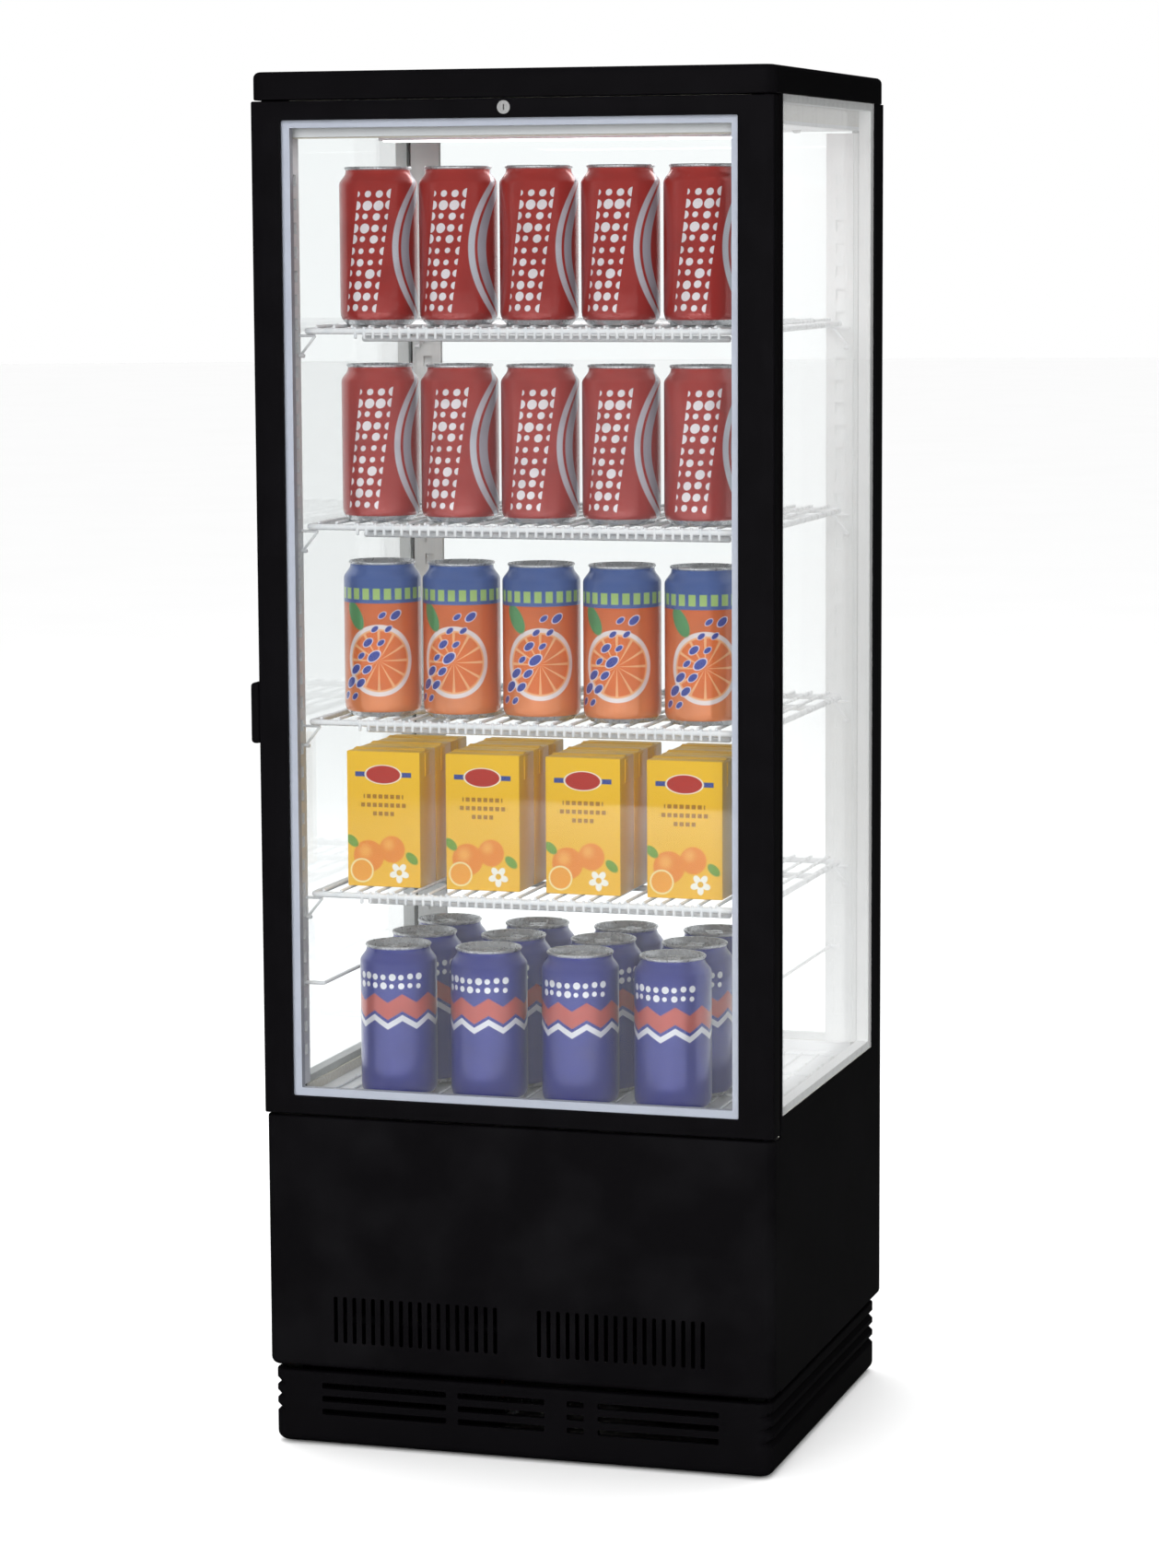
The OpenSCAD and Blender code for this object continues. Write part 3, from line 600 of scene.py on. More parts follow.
def upright(edges: list) -> list:
    """The edges that stand up."""
    return [e for e in edges if abs(e.verts[0].co.z - e.verts[1].co.z) > MM]


class Workpiece:
    """One piece on the bench: a mesh that boxes, bars and turned shapes are added to or cut from."""

    def __init__(self, name: str) -> None:
        """Starts an empty piece."""
        self.name = name
        self.bm = bmesh.new()
        self.wrap = self.bm.loops.layers.uv.new("wrap")

    def edges_of(self, verts: list) -> list:
        """The edges between some vertices."""
        chosen = set(verts)
        return [e for e in {e for v in verts for e in v.link_edges} if set(e.verts) <= chosen]

    def bevel(self, edges: list, radius: float, segments: int = 2) -> None:
        """Rounds edges over to a radius."""
        if edges:
            bmesh.ops.bevel(
                self.bm,
                geom=edges,
                offset=radius,
                offset_type="OFFSET",
                segments=segments,
                profile=0.5,
                affect="EDGES",
                material=-1,
                clamp_overlap=True,
            )

    def box(self, lo: Vector, hi: Vector, radius: float = 0.0, segments: int = 2) -> list:
        """Adds a box with softened edges.

        Args:
            lo: Lowest corner.
            hi: Highest corner.
            radius: Edge radius; 0 leaves the edges sharp.
            segments: Steps in each rounded edge.

        Returns:
            The vertices of a sharp box, or an empty list once its edges are rounded.
        """
        lo, hi = Vector(lo), Vector(hi)
        place = Matrix.Translation((lo + hi) / 2) @ Matrix.Diagonal((*(hi - lo), 1.0))
        verts = bmesh.ops.create_cube(self.bm, size=1.0, matrix=place)["verts"]
        if radius:
            self.bevel(self.edges_of(verts), radius, segments)
            return []
        return verts

    def slab(self, lo: Vector, hi: Vector, corner: float, top: float, foot: float) -> None:
        """Adds a slab with round corners in plan and softened top and bottom edges.

        Args:
            lo: Lowest corner.
            hi: Highest corner.
            corner: Radius of the upright edges.
            top: Radius of the upper edges.
            foot: Radius of the lower edges.
        """
        start = len(self.bm.verts)
        self.bevel(upright(self.edges_of(self.box(lo, hi))), corner, 8)
        self.bm.verts.ensure_lookup_table()
        fresh = self.bm.verts[start:]
        for level, radius in ((hi[2], top), (lo[2], foot)):
            rim = [v for v in fresh if v.is_valid and abs(v.co.z - level) < HAIR]
            self.bevel([e for e in self.edges_of(rim) if len(e.link_faces) == 2], radius, 5)

    def bar(self, start: tuple, end: tuple, radius: float, sides: int = 12) -> None:
        """Adds a round bar with slightly rounded ends.

        Args:
            start: Centre of one end.
            end: Centre of the other end.
            radius: Radius of the bar.
            sides: Number of flats round it.
        """
        start, end = Vector(start), Vector(end)
        span = end - start
        turn = span.to_track_quat("Z", "Y").to_matrix().to_4x4()
        place = Matrix.Translation((start + end) / 2) @ turn
        verts = bmesh.ops.create_cone(
            self.bm,
            cap_ends=True,
            segments=sides,
            radius1=radius,
            radius2=radius,
            depth=span.length,
            matrix=place,
        )["verts"]
        rims = [e for e in self.edges_of(verts) if any(len(f.verts) == sides for f in e.link_faces)]
        self.bevel(rims, radius * 0.55, 2)

    def ring(self, lo: Vector, hi: Vector, inner_lo: Vector, inner_hi: Vector, radius: float) -> None:
        """Adds a rectangular frame that stands upright and faces the front.

        Args:
            lo: Lowest corner of the whole frame.
            hi: Highest corner of the whole frame.
            inner_lo: Lowest corner of the opening; its Y isn't used.
            inner_hi: Highest corner of the opening; its Y isn't used.
            radius: Edge radius.
        """
        up = Matrix.Rotation(math.pi / 2, 4, "X")
        made = bmesh.ops.create_grid(self.bm, x_segments=1, y_segments=1, size=0.5, matrix=up)["verts"]
        face = made[0].link_faces[0]
        middle = (Vector(lo) + Vector(hi)) / 2
        for v in made:
            v.co = Vector((lo[0] if v.co.x < 0 else hi[0], lo[1], lo[2] if v.co.z < 0 else hi[2]))
        rim = bmesh.ops.inset_region(self.bm, faces=[face], thickness=MM, use_boundary=True)["faces"]
        for v in face.verts:
            left, low = v.co.x < middle.x, v.co.z < middle.z
            v.co.x = inner_lo[0] if left else inner_hi[0]
            v.co.z = inner_lo[2] if low else inner_hi[2]
        bmesh.ops.delete(self.bm, geom=[face], context="FACES_ONLY")
        moved = bmesh.ops.extrude_face_region(self.bm, geom=rim)["geom"]
        verts = [g for g in moved if isinstance(g, bmesh.types.BMVert)]
        bmesh.ops.translate(self.bm, verts=verts, vec=(0, hi[1] - lo[1], 0))
        bmesh.ops.recalc_face_normals(self.bm, faces=self.bm.faces)
        self.bevel([e for e in self.bm.edges if e.calc_face_angle(0) > SMOOTH_ANGLE], radius, 3)

    def turned(self, outline: list, steps: int) -> None:
        """Makes a shape turned on a lathe round Z, as the first shape of its piece.

        Args:
            outline: Radius and height pairs that start and end on the axis.
            steps: Steps round the axis.
        """
        verts = [self.bm.verts.new((radius, 0, height)) for radius, height in outline]
        edges = [self.bm.edges.new(pair) for pair in zip(verts, verts[1:])]
        whole = {"angle": math.tau, "steps": steps, "use_merge": True}
        bmesh.ops.spin(self.bm, geom=verts + edges, cent=(0, 0, 0), axis=(0, 0, 1), **whole)
        bmesh.ops.remove_doubles(self.bm, verts=self.bm.verts, dist=HAIR / 10)
        bmesh.ops.recalc_face_normals(self.bm, faces=self.bm.faces)

    def include(self, mesh: bpy.types.Mesh, place: Matrix) -> None:
        """Adds a copy of a finished mesh at a place."""
        self.bm.verts.ensure_lookup_table()
        start = len(self.bm.verts)
        self.bm.from_mesh(mesh)
        self.bm.verts.ensure_lookup_table()
        bmesh.ops.transform(self.bm, matrix=place, verts=self.bm.verts[start:])

    def mesh(self) -> bpy.types.Mesh:
        """Turns the work into a mesh, with edges sharper than the smooth angle kept sharp."""
        for f in self.bm.faces:
            f.smooth = True
        for e in self.bm.edges:
            e.smooth = e.calc_face_angle(0) < SMOOTH_ANGLE
        mesh = bpy.data.meshes.new(self.name)
        self.bm.to_mesh(mesh)
        return mesh

    def carve(self, tool: "Workpiece") -> None:
        """Cuts another piece's shape out of this one, and uses that piece up."""
        body = bpy.data.objects.new("body", self.mesh())
        cutter = bpy.data.objects.new("cutter", tool.mesh())
        for obj in (body, cutter):
            bpy.context.scene.collection.objects.link(obj)
        cut = body.modifiers.new("cut", "BOOLEAN")
        cut.operation, cut.solver, cut.object = "DIFFERENCE", "EXACT", cutter
        bpy.context.view_layer.update()
        result = body.evaluated_get(bpy.context.evaluated_depsgraph_get()).to_mesh()
        self.bm.free()
        tool.bm.free()
        self.bm = bmesh.new()
        self.bm.from_mesh(result)
        self.wrap = self.bm.loops.layers.uv.verify()
        for obj in (body, cutter):
            mesh = obj.data
            bpy.data.objects.remove(obj)
            bpy.data.meshes.remove(mesh)

    def hand_over(self, body: str, materials: list[bpy.types.Material], node: str) -> None:
        """Finishes the piece and gives it to its body.

        Args:
            body: The body it rides on.
            materials: Its materials, in order of face index.
            node: The frame's node that it replaces.
        """
        mesh = self.mesh()
        self.bm.free()
        for material in materials:
            mesh.materials.append(material)
        obj = bpy.data.objects.new(self.name, mesh)
        bpy.context.scene.collection.objects.link(obj)
        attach(obj, body)
        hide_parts(node)
        log.info("%s rides on %s with %d faces", self.name, body, len(mesh.polygons))


# ---------------------------------------------------------------- sub-assemblies


@dataclass
class Assembly:
    """A group of pieces that are dressed in the record's finishes."""

    finishes: dict[str, bpy.types.Material]

    def fit(self, piece: Workpiece, body: str, node: str, slot: str, *others: str) -> None:
        """Dresses a piece and hands it over.

        Args:
            piece: The piece.
            body: The body it rides on.
            node: The frame's node that it replaces.
            slot: The slot of its first finish.
            others: The slots of its further finishes, in order of face index.
        """
        piece.hand_over(body, [self.finishes[name] for name in (slot, *others)], node)


@dataclass
class Housing(Assembly):
    """The black outer shell: top cap, plinth and front panel with its vents."""

    corner: float = 12 * MM
    cap_edge: float = 5 * MM
    cap_foot: float = 1.2 * MM
    lock_off_middle: float = 6 * MM
    cam_sweep: tuple = (-17 * MM, 7 * MM)
    cam_slot: Vector = field(default_factory=lambda: Vector((5, 14)) * MM)
    plinth_foot: float = 7 * MM
    plinth_wall: float = 6 * MM
    lip_wall: float = 2 * MM
    lip_height: float = 7 * MM
    slot_height: float = 5.4 * MM
    slot_corner: float = 1.6 * MM
    slot_rows: tuple = (29 * MM, 39.8 * MM, 50.6 * MM)
    slot_columns: tuple = ((-114.5, 107), (-14.6, 74), (48, 15), (117, 101))
    groove_depth: float = 3.6 * MM
    vent_starts: tuple = (-158 * MM, 15 * MM)
    vent_count: int = 18
    vent_pitch: float = 8 * MM
    vent_width: float = 4 * MM
    vent_heights: tuple = (88 * MM, 127 * MM)
    panel_wall: float = 2 * MM
    panel_corner: float = 9.6 * MM
    panel_top: float = 1.5 * MM
    panel_foot: float = 6 * MM

    def cap(self) -> None:
        """Moulded lid over the whole cabinet."""
        lo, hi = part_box("top_cap")
        piece = Workpiece("moulded_top_cap")
        piece.slab(lo, hi, self.corner, self.cap_edge, self.cap_foot)
        tool = Workpiece("cap_slot")
        lock_lo, lock_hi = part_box("lock_barrel")
        pin = (lock_lo.x + lock_hi.x) / 2 + self.lock_off_middle
        left, right = (pin + reach for reach in self.cam_sweep)
        back = lock_hi.y + MM
        tool.box((left, back - self.cam_slot.x, lo.z - MM), (right, back, lo.z + self.cam_slot.y))
        piece.carve(tool)
        self.fit(piece, "cabinet", "top_cap", "black_plastic")

    def groove_sides(self, piece: Workpiece) -> None:
        """Draws each side in along three level lines, so that V grooves run round the corners."""
        for z in self.slot_rows:
            for step in (-1, 0, 1):
                level = z + step * self.groove_depth
                bmesh.ops.bisect_plane(
                    piece.bm,
                    geom=piece.bm.verts[:] + piece.bm.edges[:] + piece.bm.faces[:],
                    plane_co=(0, 0, level),
                    plane_no=(0, 0, 1),
                )
        for v in piece.bm.verts:
            if any(abs(v.co.z - z) < HAIR for z in self.slot_rows):
                v.co.x -= math.copysign(self.groove_depth, v.co.x)

    def plinth(self) -> None:
        """Slotted foot with three grooves round its sides and an inner lip that shuts the gap above."""
        lo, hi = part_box("plinth")
        piece = Workpiece("slotted_plinth")
        piece.slab(lo, hi, self.corner, 1.5 * MM, self.plinth_foot)
        self.groove_sides(piece)
        inner = Workpiece("plinth_inside")
        wall = Vector((self.plinth_wall, self.plinth_wall, 0))
        past = Vector((0, 0, MM))
        inner.slab(lo + wall - past, hi - wall + past, self.corner / 2, 0.1 * MM, 0.1 * MM)
        piece.carve(inner)
        slots = Workpiece("plinth_slots")
        for z in self.slot_rows:
            low, high = z - self.slot_height / 2, z + self.slot_height / 2
            for middle, width in self.slot_columns:
                x0, x1 = (middle - width / 2) * MM, (middle + width / 2) * MM
                slots.box((x0, lo.y - MM, low), (x1, lo.y + 2 * self.plinth_wall, high), self.slot_corner)
        piece.carve(slots)
        inside = hi.x - self.plinth_wall
        y0, y1 = lo.y + 2 * self.plinth_wall, hi.y - 2 * self.plinth_wall
        for side in (-1, 1):
            x0, x1 = sorted((side * inside, side * (inside + self.lip_wall)))
            piece.box((x0, y0, hi.z - MM), (x1, y1, hi.z + self.lip_height), 0.4 * MM)
        self.fit(piece, "cabinet", "plinth", "black_plastic")

    def front_panel(self) -> None:
        """Folded front panel, closed at the top, with two groups of upright vents."""
        lo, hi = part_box("front_panel")
        piece = Workpiece("vented_front_panel")
        front = [e for e in piece.edges_of(piece.box(lo, hi)) if all(v.co.y < lo.y + MM for v in e.verts)]
        piece.bevel(upright(front), self.panel_corner, 8)
        for level, radius in ((hi.z, self.panel_top), (lo.z, self.panel_foot)):
            rim = [e for e in piece.bm.edges if all(abs(v.co.z - level) < HAIR for v in e.verts)]
            piece.bevel([e for e in rim if not all(v.co.y > hi.y - MM for v in e.verts)], radius, 5)
        inner = Workpiece("panel_inside")
        wall = self.panel_wall
        sill = lo.z + 3 * wall
        hollow = inner.box((lo.x + wall, lo.y + wall, sill), (hi.x - wall, hi.y + wall, hi.z - wall))
        front = [e for e in inner.edges_of(hollow) if all(v.co.y < lo.y + 2 * wall for v in e.verts)]
        inner.bevel(upright(front), self.panel_corner - wall, 6)
        piece.carve(inner)
        vents = Workpiece("panel_vents")
        half = self.vent_width / 2
        low, high = self.vent_heights
        for start in self.vent_starts:
            for i in range(self.vent_count):
                x = start + self.vent_pitch * (i + 0.5)
                vents.box((x - half, lo.y - MM, low), (x + half, lo.y + 3 * wall, high), half * 0.9)
        piece.carve(vents)
        self.fit(piece, "cabinet", "front_panel", "black_steel")

    def build(self) -> None:
        """Makes all three."""
        self.cap()
        self.plinth()
        self.front_panel()


@dataclass
class Door(Assembly):
    """The hinged door: frame, gasket and handle. Its glass, rim and lock stay as the frame gives them."""

    frame_edge: float = 1.4 * MM
    keyhole_radius: float = 4.5 * MM
    glass_lap: float = 7 * MM
    glass_lap_top: float = 2.5 * MM
    glass_step: float = 3 * MM
    gasket_width: float = 10 * MM
    gasket_lip: float = 1.5 * MM
    gasket_edge: float = 0.9 * MM
    groove_inset: float = 3.6 * MM
    grip_edge: float = 3 * MM
    handle_recess: float = 5 * MM

    def frame(self) -> None:
        """Black frame round the glass."""
        lo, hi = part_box("door_frame")
        glass_lo, glass_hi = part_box("door_glass")
        lap_low = Vector((self.glass_lap, 0, self.glass_lap))
        lap_high = Vector((self.glass_lap, 0, self.glass_lap_top))
        piece = Workpiece("door_surround")
        piece.ring(lo, hi, glass_lo + lap_low, glass_hi - lap_high, self.frame_edge)
        seat = Workpiece("glass_seat")
        play = Vector((MM, 0, MM))
        seat_lo, seat_hi = glass_lo - play, glass_hi + play
        seat_lo.y, seat_hi.y = lo.y + self.glass_step, hi.y + MM
        seat.box(seat_lo, seat_hi)
        piece.carve(seat)
        keyhole = Workpiece("lock_hole")
        barrel_lo, barrel_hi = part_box("lock_collar")
        centre = (barrel_lo + barrel_hi) / 2
        through = (centre.x, lo.y - MM, centre.z), (centre.x, hi.y + 2 * MM, centre.z)
        keyhole.bar(*through, self.keyhole_radius, 32)
        piece.carve(keyhole)
        self.fit(piece, "door", "door_frame", "black_aluminium")

    def gasket(self) -> None:
        """Soft magnetic gasket behind the door: a black lip round a pale web, with a bellows groove."""
        lo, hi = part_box("door_gasket")
        width = Vector((self.gasket_width, 0, self.gasket_width))
        inset = Vector((self.groove_inset, 0, self.groove_inset))
        piece = Workpiece("magnetic_gasket")
        piece.ring(lo, hi, lo + width, hi - width, self.gasket_edge)
        cut = Workpiece("gasket_groove")
        mouth = Vector((lo.x, hi.y - MM, lo.z)), Vector((hi.x, hi.y + MM, hi.z))
        cut.ring(mouth[0] + inset, mouth[1] - inset, lo + width - inset, hi - width + inset, 0.3 * MM)
        piece.carve(cut)
        for f in piece.bm.faces:
            middle = f.calc_center_median()
            in_from_sides = min(middle.x - lo.x, hi.x - middle.x)
            in_from_ends = min(middle.z - lo.z, hi.z - middle.z)
            f.material_index = 1 if min(in_from_sides, in_from_ends) > self.gasket_lip else 0
        self.fit(piece, "door", "door_gasket", "black_rubber", "white_plastic")

    def handle(self) -> None:
        """Moulded grip on the free edge, hollowed for the fingertips behind."""
        lo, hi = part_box("door_handle")
        piece = Workpiece("door_grip")
        piece.box(lo, hi, self.grip_edge, 4)
        tool = Workpiece("grip_hollow")
        recess_lo = Vector((lo.x + 2.5 * MM, hi.y - self.handle_recess, lo.z + 6 * MM))
        recess_hi = Vector((hi.x - 1.5 * MM, hi.y + 4 * MM, hi.z - 6 * MM))
        tool.box(recess_lo, recess_hi, 1.2 * MM)
        piece.carve(tool)
        self.fit(piece, "door", "door_handle", "black_plastic")

    def build(self) -> None:
        """Makes the door's own pieces."""
        self.frame()
        self.gasket()
        self.handle()


@dataclass
class WireGoods(Assembly):
    """Dipped wire pieces: four shelves, their clips, the floor rack and the spare rails."""

    shelves: tuple = ("shelf_1", "shelf_2", "shelf_3", "shelf_4")
    bar: float = 2.5 * MM
    wire: float = 1.35 * MM
    pitch: float = 15 * MM
    guard_span: tuple = (-140 * MM, 165 * MM)
    guard_y: float = -132 * MM
    guard_drop: float = 11 * MM
    bead_pitch: float = 7.5 * MM
    cross_bars: tuple = (-50 * MM, 50 * MM)
    clip_wire: float = 1.1 * MM
    clip_drop: float = 16 * MM
    clip_below: float = 7.6 * MM
    clip_inset: float = 8 * MM
    rack_wires: int = 24
    rail_x: float = 174 * MM
    hook_x: float = 180 * MM
    hook_length: float = 8 * MM

    def shelf(self, node: str) -> None:
        """One welded shelf.

        Args:
            node: The frame's node and body of the same name.
        """
        lo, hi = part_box(node)
        top = hi.z
        piece = Workpiece(f"wire_{node}")
        runs = int((hi.x - lo.x - 20 * MM) / self.pitch)
        for i in range(runs + 1):
            x = (i - runs / 2) * self.pitch
            piece.bar((x, lo.y, top - self.wire), (x, hi.y, top - self.wire), self.wire, 10)
        level = top - 2 * self.wire - self.bar + 0.3 * MM
        for y in (lo.y + self.bar, *self.cross_bars, hi.y - self.bar):
            piece.bar((lo.x + self.bar, y, level), (hi.x - self.bar, y, level), self.bar, 14)
        for x in (lo.x + self.bar, hi.x - self.bar):
            piece.bar((x, lo.y + self.bar, level), (x, hi.y - self.bar, level), self.bar, 14)
        guard = top - self.guard_drop
        left, right = self.guard_span
        piece.bar((left, self.guard_y, guard), (right, self.guard_y, guard), self.bar, 14)
        bent_down = lo.y + self.wire
        for i in range(int((right - left) / self.bead_pitch) + 1):
            x = left + i * self.bead_pitch
            piece.bar((x, bent_down, guard), (x, bent_down, top - self.wire), self.wire, 8)
        self.fit(piece, node, node, "white_wire")

    def clips(self) -> None:
        """Bent wire clips that hang in the slots of the standards."""
        piece = Workpiece("wire_shelf_clips")
        rest_lo, rest_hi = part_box("shelf_clips")
        for node in self.shelves:
            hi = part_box(node)[1]
            level = hi.z - self.clip_below - self.clip_wire
            low = level - self.clip_drop
            for side in (-1, 1):
                wall = side * rest_hi.x
                tip = side * (hi.x - self.clip_inset)
                for y in (rest_lo.y + 3 * MM, rest_hi.y - 6 * MM):
                    piece.bar((wall - side * MM, y, low), (tip, y, level), self.clip_wire, 10)
                    piece.bar((wall, y, level), (tip, y, level), self.clip_wire, 10)
                    piece.bar((wall, y, low), (wall - side * 5 * MM, y, low), 1.6 * self.clip_wire, 10)
        piece.hand_over("cabinet", [self.finishes["white_wire"]], "shelf_clips")

    def rack(self) -> None:
        """Fine rack on the floor liner."""
        lo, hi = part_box("floor_rack")
        piece = Workpiece("wire_floor_rack")
        radius = (hi.z - lo.z) / 2
        level = lo.z + radius
        for y in (lo.y + radius, *self.cross_bars, hi.y - radius):
            piece.bar((lo.x, y, level), (hi.x, y, level), radius, 10)
        for i in range(self.rack_wires + 1):
            x = lo.x + 4 * MM + i * (hi.x - lo.x - 8 * MM) / self.rack_wires
            piece.bar((x, lo.y, level + 0.1 * MM), (x, hi.y, level + 0.1 * MM), radius * 0.85, 8)
        self.fit(piece, "cabinet", "floor_rack", "white_wire")

    def spare_rails(self) -> None:
        """Two bent rails left in the standards below the lowest shelf."""
        lo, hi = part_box("spare_shelf_rails")
        piece = Workpiece("spare_wire_rails")
        radius = (hi.z - lo.z) / 2
        level = lo.z + radius
        front, back = lo.y + radius, hi.y
        turn = back - self.hook_length
        for side in (-1, 1):
            inner, hook = side * self.rail_x, side * self.hook_x
            route = (side * hi.x, front), (inner, front), (inner, turn), (hook, turn), (hook, back)
            for start, end in zip(route, route[1:]):
                piece.bar((*start, level), (*end, level), radius)
        self.fit(piece, "cabinet", "spare_shelf_rails", "white_wire")

    def build(self) -> None:
        """Makes every wire piece."""
        for node in self.shelves:
            self.shelf(node)
        self.clips()
        self.rack()
        self.spare_rails()


@dataclass
class Can:
    """A drawn drinks can with a printed wall, a necked-in shoulder and a pull tab."""

    height: float
    radius: float = 31.25 * MM
    steps: int = 48
    neck: float = 0.83
    shoulder: float = 14 * MM
    wall_start: float = 10 * MM
    lid_drop: float = 5 * MM
    print_low: float = 4 * MM
    print_high_drop: float = 3 * MM

    def outline(self) -> list[tuple[float, float]]:
        """Radius and height pairs from the middle of the base to the middle of the lid."""
        r, h = self.radius, self.height
        n = r * self.neck
        foot = [(0, 9), (n * 0.5, 8), (n * 0.8, 5), (n * 0.93, 1), (n, 0), (n * 1.02, 0.6)]
        foot += [(r * 0.95, 4), (r * 0.985, 6.5), (r, 10)]
        points = [(across, up * MM) for across, up in foot]
        start = self.wall_start
        points += [(r, start + i * (h - self.shoulder - start) / 6) for i in range(1, 7)]
        for t in (i / 6 for i in range(1, 7)):
            ease = t * t * (3 - 2 * t)
            points.append((r + (n - r) * ease, h - self.shoulder + t * (self.shoulder - 4 * MM)))
        rim = [(0, 2.6), (0.9, 1.8), (1.1, 0.8), (0.4, 0), (-0.8, 0.2), (-1.4, 1.4), (-2, 6), (-3.2, 6.8)]
        points += [(n + out * MM, h - down * MM) for out, down in (*rim, (-4.2, 5.4))]
        return points + [(n * 0.45, h - self.lid_drop), (0, h - self.lid_drop)]

    def tab(self, piece: Workpiece) -> None:
        """Adds the rivet, the pull tab and the scored mouth."""
        z = self.height - self.lid_drop
        piece.bar((0, 0, z - 0.2 * MM), (0, 0, z + 1.8 * MM), 3 * MM)
        for half, y0, y1, z0, z1, edge in (
            (6.5, -3, 6, 0.9, 1.7, 0.38),
            (7, 5, 13, 0.9, 2.2, 0.6),
            (8, -15, -5, -0.3, 0.35, 0.3),
        ):
            piece.box((-half * MM, y0 * MM, z + z0 * MM), (half * MM, y1 * MM, z + z1 * MM), edge * MM)

    def build(self) -> bpy.types.Mesh:
        """Makes the can on the origin, with its printed wall wrapped from its front."""
        piece = Workpiece("can_pattern")
        piece.turned(self.outline(), self.steps)
        wall_low, wall_high = self.print_low, self.height - self.print_high_drop
        for f in piece.bm.faces:
            middle = f.calc_center_median()
            printed = middle.xy.length > self.radius * self.neck * 0.98 and wall_low < middle.z < wall_high
            f.material_index = 0 if printed else 1
            turn = math.atan2(middle.x, -middle.y)
            for loop in f.loops:
                here = math.atan2(loop.vert.co.x, -loop.vert.co.y)
                here += math.tau * round((turn - here) / math.tau)
                loop[piece.wrap].uv = (here * self.radius, loop.vert.co.z)
        turned_faces = len(piece.bm.faces)
        self.tab(piece)
        for f in list(piece.bm.faces)[turned_faces:]:
            f.material_index = 1
        mesh = piece.mesh()
        piece.bm.free()
        return mesh


@dataclass
class Carton:
    """A juice brick of folded board with a flat seam across its top and an ear on each side."""

    size: Vector
    side_print_starts: float = 50 * MM

    def build(self) -> bpy.types.Mesh:
        """Makes the carton standing on the origin, its front towards -Y."""
        w, d, h = self.size.x / 2, self.size.y / 2, self.size.z
        inset = w - 1 * MM
        piece = Workpiece("carton_pattern")
        piece.box((-w, -d, 0), (w, d, h - 1.2 * MM), 0.9 * MM)
        piece.box((-inset, -5 * MM, h - 1.6 * MM), (inset, 5 * MM, h - 0.5 * MM), 0.35 * MM)
        piece.box((-inset, -0.8 * MM, h - 1.4 * MM), (inset, 0.8 * MM, h), 0.3 * MM)
        for side in (-1, 1):
            ear = sorted((side * (w - 0.2 * MM), side * (w + 0.7 * MM)))
            piece.box((ear[0], -7 * MM, h - 22 * MM), (ear[1], 7 * MM, h - 3 * MM), 0.3 * MM)
        for f in piece.bm.faces:
            on_side = abs(f.normal.x) > 0.7
            for loop in f.loops:
                co = loop.vert.co
                loop[piece.wrap].uv = (co.y + self.side_print_starts if on_side else co.x, co.z)
        mesh = piece.mesh()
        piece.bm.free()
        return mesh


